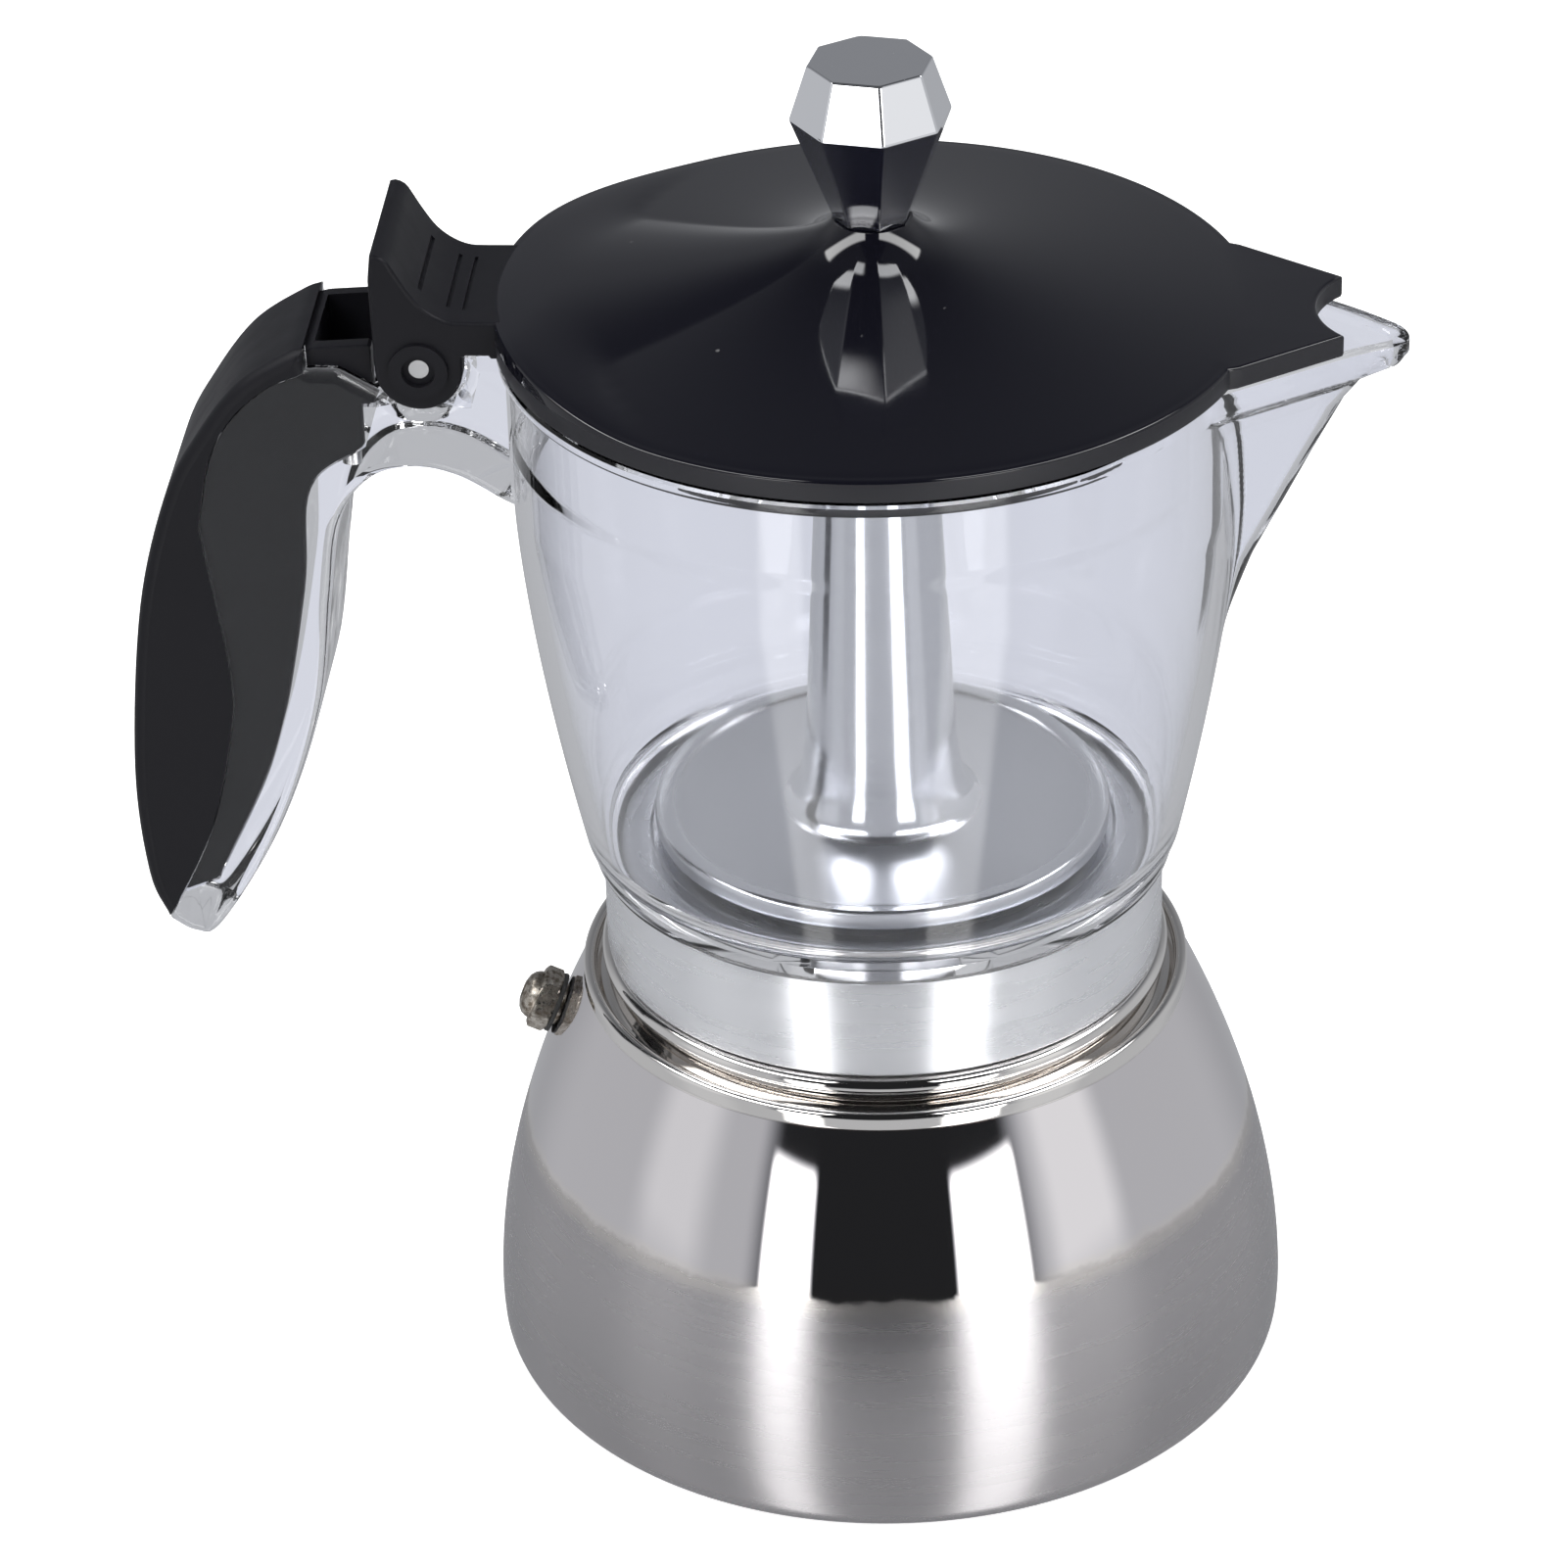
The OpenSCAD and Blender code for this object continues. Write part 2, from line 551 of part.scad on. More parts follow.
// Grip: the clear handle with its channel, its bracket on the jug's wall and its two hinge ears.
module grip() {
    clear_outline = concat(smooth(split_top), smooth(split_low), smooth(grip_inside, 3),
        [[14, hinge_drop], [knuckle_r + 0.6, hinge_drop]], arc([0, 0], knuckle_r + 0.4, 8, -115, 12),
        [[-10.2, -0.8]]);
    behind = -4 * handle_w;
    channel = concat([[core_inside[0][0], bracket_floor]], smooth(core_inside),
        [[-34.9, tail_cut], [behind, tail_cut], [behind, handle_w], [knuckle_r + 0.6, handle_w],
         [knuckle_r + 0.6, bracket_floor]]);
    ear_r = 4.2;
    ear = concat([[-ear_r - 0.8, bracket_floor - 0.5]], arc([0, 0], ear_r, 180, 0, 12),
        [[knuckle_r + 1, -2], [knuckle_r + 1, bracket_floor - 0.5]]);
    color("lavender", 0.4) difference() {
        union() {
            difference() {
                side_plate(clear_outline, -handle_w / 2, handle_w / 2);
                side_plate(channel, -slot_w / 2, slot_w / 2);
            }
            both_sides(ear, ear_out - ear_t, ear_out);
        }
        jug_outside();
        translate([hinge_x, 0, hinge_z]) rotate([90, 0, 0])
            cylinder(r = pin_r + 0.03, h = 2 * lever_in, center = true);
        translate([hinge_x + screw_x, 0, hinge_z - 17.5]) cylinder(r = screw_r + screw_gap, h = 8);
    }
}

// Handle insert: the dark core in the channel, the deck with its pocket, and the outer spine.
module handle_insert() {
    half = slot_w / 2 - insert_gap;
    gap = [-insert_gap - 0.05, 0];
    whole = concat([[core_inside[0][0] - insert_gap, bracket_floor + 0.3]], moved(smooth(core_inside), gap),
        [[-34.8, tail_cut + 0.3], [-36.2, tail_cut + 0.3]], [for (q = back(smooth(spine))) if (q[1] > -81) q],
        [[core_front, deck], [core_front, bracket_floor + 0.3]]);
    front = spine[0][0] - 0.2;
    beside = concat([[front, 10], [front, -1.1]],
        moved([for (q = smooth(split_top)) if (q[0] < front) q], gap),
        moved(smooth(split_low), gap), [[-38, -90], [10, -90], [10, 10]]);
    pocket_h = pocket_depth + 1;
    color([0.16, 0.16, 0.17]) difference() {
        side_plate(whole, -handle_w / 2, handle_w / 2);
        both_sides(beside, half, handle_w);
        translate([hinge_x + pocket_x[0], -slot_w / 2 + 2, hinge_z + deck + 1 - pocket_h])
            cube([pocket_x[1] - pocket_x[0] + 2, slot_w - 4, pocket_h]);
        translate([hinge_x + screw_x, 0, hinge_z - 30]) cylinder(r = screw_r + screw_gap, h = 30);
    }
}

// Handle screws: one from the pocket's floor into the clear handle.
module handle_screws() {
    seat = hinge_z + deck - pocket_depth;
    head_r = 2.6;
    color("silver") translate([hinge_x + screw_x, 0, 0]) difference() {
        union() {
            translate([0, 0, seat]) cylinder(r = head_r, h = 1.8);
            translate([0, 0, hinge_z - 17]) cylinder(r = screw_r, h = seat - hinge_z + 17.5);
        }
        for (t = [0, 90]) rotate([0, 0, t]) translate([-1.6, -0.3, seat + 1]) cube([3.2, 0.6, 2]);
    }
}

module hinge_pin() {
    color("silver") translate([hinge_x, 0, hinge_z]) rotate([90, 0, 0])
        cylinder(r = pin_r, h = lever_w - 0.8, center = true);
}

// Lid: the coned cover with its locating ring, the beak cover and the hinged thumb lever.
function lid_top(r) = lid_edge_top
    + lid_rise * pow((lid_r - 0.5 - r) / (lid_r - 0.5 - lid_neck_r), 1.6);
module lid() {
    ring_r = jug_r - jug_wall - 0.6;
    hub_r = 4.6;
    hub_t = 3.4;
    radii = [for (i = [0 : 16]) lid_r - 0.5 - (lid_r - 0.5 - lid_neck_r) * i / 16];
    cover = concat([[lid_r, lid_z], [lid_r, lid_edge_top - 0.5]], [for (r = radii) [r, lid_top(r)]],
        [[0, knob_z], [0, knob_z - hub_t], [hub_r, knob_z - hub_t]],
        [for (i = [15 : -1 : 0]) if (radii[i] < ring_r - 2 && radii[i] > hub_r + 1)
            [radii[i], lid_top(radii[i]) - lid_wall]],
        [[ring_r - 1.8, lid_top(ring_r - 1.8) - lid_wall], [ring_r - 1.8, lid_z - 3], [ring_r - 0.3, lid_z - 3],
         [ring_r, lid_z - 2.7], [ring_r, lid_z]]);
    beak_x = jug_r + 12.2 * spout_reach / 20.7;
    beak_w = 8.2;
    notch = 3.3;
    notch_r = (beak_w * beak_w + notch * notch) / (2 * notch);
    roof = lid_edge_top + 2 - hinge_z;
    thumb = smooth([[4, roof], [1.7, roof + 2.2], [-1.4, roof + 6], [-2.8, roof + 8.4], [-4.4, roof + 9.1]]);
    skirt = lid_z - hinge_z;
    lever = concat([[23, roof - 1.2], [23, roof]], thumb, [[-5.3, roof + 9], [-5.7, roof + 5.6]],
        arc([0, 0], knuckle_r, 180, 360, 16),
        [[knuckle_r, skirt + 0.4], [9, skirt + 0.4], [9, skirt], [13, skirt], [14, roof - 2]]);
    hollow = [[8, skirt - 9], [8, roof - 2.3], [4.6, roof - 2.3], [1.8, roof - 0.4], [-2, roof + 3.6],
        [-4, roof + 6.2], [-8, roof + 6.8], [-8, skirt - 9]];
    color([0.14, 0.14, 0.16]) difference() {
        union() {
            rotate_extrude() polygon(cover);
            translate([0, 0, lid_z]) linear_extrude(height = lid_edge_h)
                polygon([[lid_r - 3.4, -spout_half_w - 0.4], [lid_r - 2, -spout_half_w], [beak_x, -beak_w],
                    [beak_x, beak_w], [lid_r - 2, spout_half_w], [lid_r - 3.4, spout_half_w + 0.4]]);
            side_plate(lever, -lever_w / 2, lever_w / 2);
        }
        side_plate(hollow, -lever_in, lever_in);
        translate([beak_x - notch + notch_r, 0, lid_z - 1]) cylinder(r = notch_r, h = lid_edge_h + 2);
        translate([hinge_x, 0, hinge_z]) rotate([90, 0, 0])
            cylinder(r = pin_r + pin_gap, h = 2 * lever_w, center = true);
        translate([0, 0, knob_z - 20]) cylinder(r = knob_screw_r + 0.15, h = 30);
    }
}

// Knob: an eight-sided knob that widens upwards, with a chamfered top.
knob_screw_r = 1.9;
knob_bore = 12;
module knob() {
    foot = 4.8;
    rings = [[foot, 0], [knob_r, knob_h * 0.665], [knob_top_r, knob_h]];
    color("silver") translate([0, 0, knob_z]) difference() {
        loft([for (p = rings) [for (k = [0 : 7]) let (a = 45 * k + knob_turn) [p[0] * cos(a), p[0] * sin(a), p[1]]]]);
        translate([0, 0, -1]) cylinder(r = knob_screw_r + 0.03, h = knob_bore + 1);
    }
}

module knob_screw() {
    color("silver") difference() {
        union() {
            translate([0, 0, knob_z - 3.4 - 1.8]) cylinder(r = 3.8, h = 1.8);
            translate([0, 0, knob_z - 3.4 - 0.5]) cylinder(r = knob_screw_r, h = 3.4 + knob_bore - 1);
        }
        for (t = [0, 90]) rotate([0, 0, t]) translate([-2.2, -0.4, knob_z - 3.4 - 2.4]) cube([4.4, 0.8, 1.4]);
    }
}

boiler_shell();
boiler_neck();
base_disc();
valve_body();
valve_washer();
valve_nut();
valve_spring();
valve_pin();
funnel();
funnel_tube();
funnel_filter();
gasket();
filter_plate();
collar();
column();
column_cap();
jug_seal();
jug();
grip();
handle_insert();
handle_screws();
hinge_pin();
lid();
knob();
knob_screw();
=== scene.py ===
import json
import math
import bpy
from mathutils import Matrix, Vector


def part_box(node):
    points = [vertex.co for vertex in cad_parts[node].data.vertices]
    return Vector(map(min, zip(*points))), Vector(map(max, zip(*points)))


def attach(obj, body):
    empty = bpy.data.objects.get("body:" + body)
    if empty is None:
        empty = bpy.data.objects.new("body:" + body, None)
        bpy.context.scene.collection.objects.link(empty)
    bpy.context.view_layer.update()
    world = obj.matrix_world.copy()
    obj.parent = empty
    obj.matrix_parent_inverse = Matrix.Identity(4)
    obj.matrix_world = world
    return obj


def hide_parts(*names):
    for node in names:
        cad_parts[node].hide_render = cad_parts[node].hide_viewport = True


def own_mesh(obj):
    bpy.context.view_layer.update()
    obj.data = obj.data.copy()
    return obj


bl_info = {
    "name": "Moka pot",
    "version": (1, 0, 0),
    "blender": (4, 5, 0),
    "location": "View3D > Sidebar > Moka pot",
    "description": "Dresses the moka pot's frame with detailed pieces and finishes",
    "category": "Add Mesh",
}

import bpy
import bmesh
import numpy as np
from bpy.props import FloatProperty, FloatVectorProperty, IntProperty, PointerProperty
from mathutils import Matrix, Vector

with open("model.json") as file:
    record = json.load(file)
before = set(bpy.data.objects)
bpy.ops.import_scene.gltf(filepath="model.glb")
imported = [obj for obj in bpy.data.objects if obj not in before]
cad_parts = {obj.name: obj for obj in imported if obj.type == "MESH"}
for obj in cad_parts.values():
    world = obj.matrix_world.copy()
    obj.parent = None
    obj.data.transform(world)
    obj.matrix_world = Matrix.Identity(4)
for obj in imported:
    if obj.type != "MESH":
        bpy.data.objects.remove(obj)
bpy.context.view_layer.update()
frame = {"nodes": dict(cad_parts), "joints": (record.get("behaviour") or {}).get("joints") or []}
MM = 0.001
# Advance in one turn and height of the thread of neck and collar, in millimetres.
PITCH, RIDGE = 3.0, 0.9


def box_mm(node):
    """Lowest and highest corners of a CAD node, in millimetres."""
    low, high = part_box(node)
    return np.array(low) / MM, np.array(high) / MM


# Levels and radii of the frame that the pieces share, in millimetres.
SEAM = box_mm("boiler_shell")[1][2]
NECK_TOP = box_mm("boiler_neck")[1][2]
COLLAR_LOW = box_mm("collar")[0][2]
JUG_LOW, RIM = box_mm("jug")[0][2], box_mm("jug")[1][2]
DISC_LOW = box_mm("jug_seal")[1][2]
CAP_TOP = box_mm("column_cap")[1][2]
LID_LOW = RIM + 0.4
KNOB_LOW, KNOB_TOP = box_mm("knob")[0][2], box_mm("knob")[1][2]
PIN = (box_mm("hinge_pin")[0] + box_mm("hinge_pin")[1]) / 2


# ---- shapes

def bent(points, cut, steps=5):
    """Rounds the corners of a closed outline: each corner C becomes the curve (1-s)^2 A + 2s(1-s) C + s^2 B,
    where A and B lie on its two edges at the distance given by cut."""
    p = np.asarray(points, float)
    before, after = np.roll(p, 1, 0) - p, np.roll(p, -1, 0) - p
    len_b, len_a = np.linalg.norm(before, axis=1), np.linalg.norm(after, axis=1)
    d = np.minimum(np.broadcast_to(np.asarray(cut, float), len(p)), 0.48 * np.minimum(len_b, len_a))
    a = p + before / len_b[:, None] * d[:, None]
    b = p + after / len_a[:, None] * d[:, None]
    s = np.linspace(0, 1, steps)[None, :, None]
    curve = (1 - s) ** 2 * a[:, None] + 2 * s * (1 - s) * p[:, None] + s ** 2 * b[:, None]
    flat = curve.reshape(-1, 2)
    return flat[np.linalg.norm(flat - np.roll(flat, 1, 0), axis=1) > 1e-4]


def arc(centre, r, start, end, n=12):
    """Points of a circular arc, angles in degrees."""
    t = np.radians(np.linspace(start, end, n))
    return np.stack([centre[0] + r * np.cos(t), centre[1] + r * np.sin(t)], 1)


def flow(points, n=6):
    """Catmull-Rom curve through the points, n steps to each span."""
    p = np.asarray(points, float)
    q = np.vstack([2 * p[0] - p[1], p, 2 * p[-1] - p[-2]])
    t = (np.arange(n) / n)[None, :, None]
    a, b, c, d = (q[i:len(q) - 3 + i][:, None] for i in range(4))
    curve = 0.5 * (2 * b + (c - a) * t + (2 * a - 5 * b + 4 * c - d) * t ** 2
                   + (3 * b - a - 3 * c + d) * t ** 3)
    return np.vstack([curve.reshape(-1, p.shape[1]), p[-1:]])


def evened(points, step):
    """Points at an even distance along a closed outline."""
    p = np.vstack([points, points[:1]])
    along = np.concatenate([[0], np.cumsum(np.linalg.norm(np.diff(p, axis=0), axis=1))])
    t = np.linspace(0, along[-1], int(along[-1] / step) + 1)[:-1]
    return np.stack([np.interp(t, along, p[:, k]) for k in (0, 1)], 1)


def tidy(obj, merge=0.002, sharp=32.0):
    """Merges the points at poles and seams, turns the faces outwards and marks the edges that stay crisp."""
    bm = bmesh.new()
    bm.from_mesh(obj.data)
    bmesh.ops.remove_doubles(bm, verts=bm.verts, dist=merge * MM)
    bmesh.ops.dissolve_degenerate(bm, edges=bm.edges, dist=1e-7)
    bmesh.ops.triangulate(bm, faces=[f for f in bm.faces if len(f.verts) > 4], ngon_method="EAR_CLIP")
    bmesh.ops.recalc_face_normals(bm, faces=bm.faces)
    bm.to_mesh(obj.data)
    bm.free()
    obj.data.shade_smooth()
    obj.data.set_sharp_from_angle(angle=math.radians(sharp))
    return obj


def grid(name, rows, loop_rows=True, loop_cols=True, caps=False, **kw):
    """Surface over an array of points in millimetres: quads join rows[i, j] to its neighbours, and caps
    closes the ends."""
    a, b = rows.shape[:2]
    i = np.arange(a if loop_rows else a - 1)[:, None]
    j = np.arange(b if loop_cols else b - 1)[None, :]
    k, m = (i + 1) % a, (j + 1) % b
    faces = np.stack([i * b + j, k * b + j, k * b + m, i * b + m], -1).reshape(-1, 4).tolist()
    if caps:
        faces += [list(range(b)), list(range(a * b - 1, (a - 1) * b - 1, -1))]
    mesh = bpy.data.meshes.new(name)
    mesh.from_pydata((rows.reshape(-1, 3) * MM).tolist(), [], faces)
    obj = bpy.data.objects.new(name, mesh)
    bpy.context.scene.collection.objects.link(obj)
    return tidy(obj, **kw)


def polar(r, angle, z):
    """Points given by their distance from the Z axis, their angle in radians and their height."""
    return np.stack(np.broadcast_arrays(r * np.cos(angle), r * np.sin(angle), z), -1)


def turned(name, profile, n=192, **kw):
    """Turns a closed (radius, height) profile about the Z axis."""
    p = np.asarray(profile, float)
    angle = np.linspace(0, 2 * np.pi, n, endpoint=False)[:, None]
    return grid(name, polar(p[:, 0], angle, p[:, 1]), **kw)


def plate(name, outline, low, high, edge=0.6, steps=4, **kw):
    """Carries an X-Z outline along Y from low to high: near each end it draws in by edge * (1 - cos t)
    while y runs out by edge * sin t, which rounds the two rims. Where a point would come nearer to another
    side than it is drawn in, as in a tight corner, the last good point is joined straight to the next."""
    p = evened(outline, 0.7)
    ahead = np.roll(p, -1, 0) - np.roll(p, 1, 0)
    ahead /= np.linalg.norm(ahead, axis=1)[:, None]
    area = np.sum(p[:, 0] * np.roll(p[:, 1], -1) - np.roll(p[:, 0], -1) * p[:, 1])
    out = np.stack([ahead[:, 1], -ahead[:, 0]], 1) * np.sign(area)
    t = np.radians(np.linspace(90, 0, steps))
    y = np.concatenate([low + edge * (1 - np.sin(t)), (high - edge * (1 - np.sin(t)))[::-1]])
    inset = edge * (1 - np.cos(t))
    inset = np.concatenate([inset, inset[::-1]])
    xz = p[None] - out[None] * inset[:, None, None]
    index = np.arange(len(p))
    for row, drawn in zip(xz, inset):
        near = np.linalg.norm(row[:, None] - p[None], axis=2).min(1)
        good = near > 0.97 * drawn - 0.01
        for k in (0, 1):
            row[:, k] = np.interp(index, index[good], row[good, k], period=len(p))
    rows = np.stack([xz[..., 0], np.broadcast_to(y[:, None], xz.shape[:2]), xz[..., 1]], -1)
    return grid(name, rows, loop_rows=False, caps=True, **kw)


def prism(outline, low, high):
    """A plain solid for combine: an X-Z outline carried along Y."""
    p = np.asarray(outline, float)
    rows = np.stack([np.insert(p, 1, y, axis=1) for y in sorted((low, high))])
    return grid("prism", rows, loop_rows=False, caps=True)


def combine(obj, tool, how, sharp=32.0):
    """Joins, cuts or crosses two closed solids and removes the second."""
    mod = obj.modifiers.new("solid", "BOOLEAN")
    mod.operation, mod.object, mod.solver = how, tool, "MANIFOLD"
    bpy.context.view_layer.update()
    made = bpy.data.meshes.new_from_object(obj.evaluated_get(bpy.context.evaluated_depsgraph_get()))
    obj.modifiers.remove(mod)
    old, obj.data = obj.data, made
    bpy.data.meshes.remove(old)
    bpy.data.objects.remove(tool)
    if not len(made.polygons):
        raise RuntimeError(f"{obj.name}: nothing is left after {how}")
    return tidy(obj, merge=0.004, sharp=sharp)


def cut(obj, outline, low, high, sharp=32.0):
    """Cuts an X-Z outline out of a solid, from low to high along Y."""
    combine(obj, prism(outline, low, high), "DIFFERENCE", sharp)


def flat_faced(obj):
    """Lets the large faces square to Y set the shading, so that rounded edges don't smear over them."""
    square = 0.9999
    normals = np.empty(3 * len(obj.data.polygons), np.float32)
    obj.data.polygons.foreach_get("normal", normals)
    obj.data.polygons.foreach_set("use_smooth", np.abs(normals[1::3]) < square)
    obj.modifiers.new("normals", "WEIGHTED_NORMAL").keep_sharp = True
    return obj


def dressed(obj, body, slot, material, *nodes):
    """Gives a finished piece its body and its finish, and hides the frame's nodes that it stands for."""
    obj.data.materials.clear()
    obj.data.materials.append(material)
    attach(obj, body)
    if nodes:
        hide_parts(*nodes)
    return obj


def painted(node, material):
    """Gives a CAD node that stays in sight its finish."""
    obj = frame["nodes"][node]
    obj.data.materials.clear()
    obj.data.materials.append(material)


# ---- finishes

class Tree:
    """Short hand for building a node tree."""

    def __init__(self, tree):
        self.tree = tree

    def node(self, kind, *given, **settings):
        """A new shader node with its settings, whose first inputs are fed in order."""
        n = self.tree.nodes.new("ShaderNode" + kind)
        for key, value in settings.items():
            setattr(n, key, value)
        for socket, value in zip(n.inputs, given):
            self.feed(socket, value)
        return n

    def shader(self, kind, *given):
        return self.node(kind, *given).outputs[0]

    def feed(self, socket, value):
        """Links an output to an input, or sets the input's own value. A tuple is a colour; None leaves it."""
        if hasattr(value, "is_output"):
            self.tree.links.new(value, socket)
        elif value is not None:
            socket.default_value = (*value, 1.0) if isinstance(value, tuple) else value

    def math(self, operation, a, b=None, c=None, clamp=False):
        return self.node("Math", a, b, c, operation=operation, use_clamp=clamp).outputs[0]

    def add(self, a, b, clamp=False):
        return self.math("ADD", a, b, clamp=clamp)

    def sub(self, a, b):
        return self.math("SUBTRACT", a, b)

    def mul(self, a, b, clamp=False):
        return self.math("MULTIPLY", a, b, clamp=clamp)

    def vector(self, x, y, z):
        return self.node("CombineXYZ", x, y, z).outputs[0]

    def split(self, vector):
        return self.node("SeparateXYZ", vector).outputs

    def place(self):
        return self.node("TexCoord").outputs["Object"]

    def height(self):
        return self.split(self.place())[2]

    def tangent(self):
        """Direction round the Z axis, for brushed metal."""
        return self.node("Tangent", direction_type="RADIAL", axis="Z").outputs[0]

    def noise(self, vector, scale, detail=3.0, rough=0.55):
        return self.node("TexNoise", vector, None, scale, detail, rough).outputs["Fac"]

    def ramp(self, value, low, high, to_low=0.0, to_high=1.0):
        """Smooth step from to_low at low to to_high at high."""
        n = self.node("MapRange", value, low, high, to_low, to_high, interpolation_type="SMOOTHSTEP")
        return n.outputs[0]

    def blend(self, share, a, b):
        return self.node("Mix", share, *[None] * 5, a, b, data_type="RGBA").outputs[2]

    def bump(self, height, strength, distance):
        n = self.node("Bump", strength, distance)
        self.feed(n.inputs["Height"], height)
        return n.outputs[0]

    def group(self, tree, **inputs):
        n = self.node("Group", node_tree=tree)
        for key, value in inputs.items():
            self.feed(n.inputs[key.replace("_", " ")], value)
        return n.outputs


def emptied(block):
    """The node tree of a new material or world, without nodes."""
    block.use_nodes = True
    block.node_tree.nodes.clear()
    return Tree(block.node_tree)


def group_tree(name, inputs, outputs):
    """A node group with number inputs (name, default) and outputs, which holds nothing else yet."""
    tree = bpy.data.node_groups.new(name, "ShaderNodeTree")
    number = "NodeSocketFloat"
    for label, default in inputs:
        tree.interface.new_socket(label, in_out="INPUT", socket_type=number).default_value = default
    for label in outputs:
        tree.interface.new_socket(label, in_out="OUTPUT", socket_type=number)
    given, put = tree.nodes.new("NodeGroupInput"), tree.nodes.new("NodeGroupOutput")
    return tree, Tree(tree), given.outputs, put.inputs


def turned_lines():
    """Fine rings left by turning or brushing about the Z axis: noise over (angle, radius, height) that
    changes slowly with the angle and quickly with the radius and the height."""
    tree, t, given, put = group_tree("Turned lines", [("Lines per mm", 6.0)], ["Height", "Streaks"])
    x, y, z = t.split(t.place())
    r = t.math("SQRT", t.add(t.mul(x, x), t.mul(y, y)))
    turn = t.mul(t.math("ARCTAN2", y, x), 1.5)
    for socket, per_metre, detail in ((put[0], t.mul(given[0], 1000.0), 2.0), (put[1], 500.0, 3.0)):
        rings = t.vector(turn, t.mul(r, per_metre), t.mul(z, per_metre))
        t.feed(socket, t.noise(rings, 1.0, detail))
    return tree


def moulded_grain():
    """Fine spark-eroded skin of moulded plastic: two sizes of noise, and a slow cloudiness."""
    tree, t, given, put = group_tree("Moulded grain", [("Grains per mm", 5.0)], ["Height", "Cloud"])
    at = t.place()
    k = t.mul(given[0], 1000.0)
    coarse = t.noise(at, t.mul(k, 0.25), 2.0)
    t.feed(put[0], t.add(t.noise(at, k, 2.0), t.mul(coarse, 0.6)))
    t.feed(put[1], t.noise(at, 45.0, 4.0, 0.6))
    return tree


def handling_marks():
    """Wipe marks and dust: stretched cloud for smears, and rare small specks."""
    tree, t, given, put = group_tree("Handling marks", [("Amount", 1.0), ("Size per mm", 0.12)],
                                     ["Smear", "Specks"])
    at = t.place()
    k = t.mul(given[1], 1000.0)
    x, y, z = t.split(at)
    smear = t.noise(t.vector(t.mul(x, 0.35), y, t.mul(z, 0.6)), k, 5.0, 0.65)
    t.feed(put[0], t.mul(t.ramp(smear, 0.48, 0.72), given[0]))
    speck = t.node("TexVoronoi", at, None, 260.0, feature="F1").outputs["Distance"]
    rare = t.ramp(t.noise(at, 190.0, 1.0), 0.66, 0.72)
    t.feed(put[1], t.mul(t.mul(t.ramp(speck, 0.05, 0.09, 1.0, 0.0), rare), given[0]))
    return tree


GROUPS = {}


def shared(make):
    """The node group that a function makes, made once."""
    if make.__name__ not in GROUPS:
        GROUPS[make.__name__] = make()
    return GROUPS[make.__name__]


def surface(name, **plain):
    """A material with one Principled shader whose plain numbers are set on its own sockets."""
    mat = bpy.data.materials.new(name)
    t = emptied(mat)
    shader = t.node("BsdfPrincipled")
    t.node("OutputMaterial", shader.outputs[0])
    for key, value in plain.items():
        t.feed(shader.inputs[key.replace("_", " ")], value)
    return mat, t, shader.inputs


def clear_plastic():
    """Clear moulding: a faint swell in its skin, and wipe marks."""
    tint = tuple(bpy.context.scene.moka_finishes.clear)
    mat, t, to = surface("clear copolyester", Base_Color=tint, IOR=1.4, Transmission_Weight=1.0)
    marks = t.group(shared(handling_marks), Amount=1.0, Size_per_mm=0.06)
    t.feed(to["Roughness"], t.add(t.mul(marks["Smear"], 0.05), 0.015))
    t.feed(to["Normal"], t.bump(t.noise(t.place(), 70.0, 1.0), 0.05, 0.0006))
    return mat


def turned_metal(name, colour, rough, lines, strength, streak, aniso=0.0, metal=1.0, matte_below=None):
    """Metal with turning rings, which draw its reflections out along the axis. streak varies its roughness
    and shade, and below the height matte_below, in millimetres, it is only satin."""
    mat, t, to = surface(name, Base_Color=colour, Metallic=metal, Roughness=rough, Anisotropic=aniso,
                         Anisotropic_Rotation=0.25)
    rings = t.group(shared(turned_lines), Lines_per_mm=lines)
    wide = t.ramp(rings["Streaks"], 0.35, 0.65, -streak, streak)
    if matte_below is not None:
        wide = t.add(wide, t.ramp(t.height(), (matte_below - 0.2) * MM, (matte_below + 0.4) * MM, 0.16, 0.0))
    t.feed(to["Roughness"], t.add(wide, rough, clamp=True))
    dim = tuple(c * (1 - 1.2 * streak) for c in colour)
    t.feed(to["Base Color"], t.blend(rings["Streaks"], dim, colour))
    t.feed(to["Normal"], t.bump(rings["Height"], strength, 0.00003))
    if aniso:
        t.feed(to["Tangent"], t.tangent())
    return mat


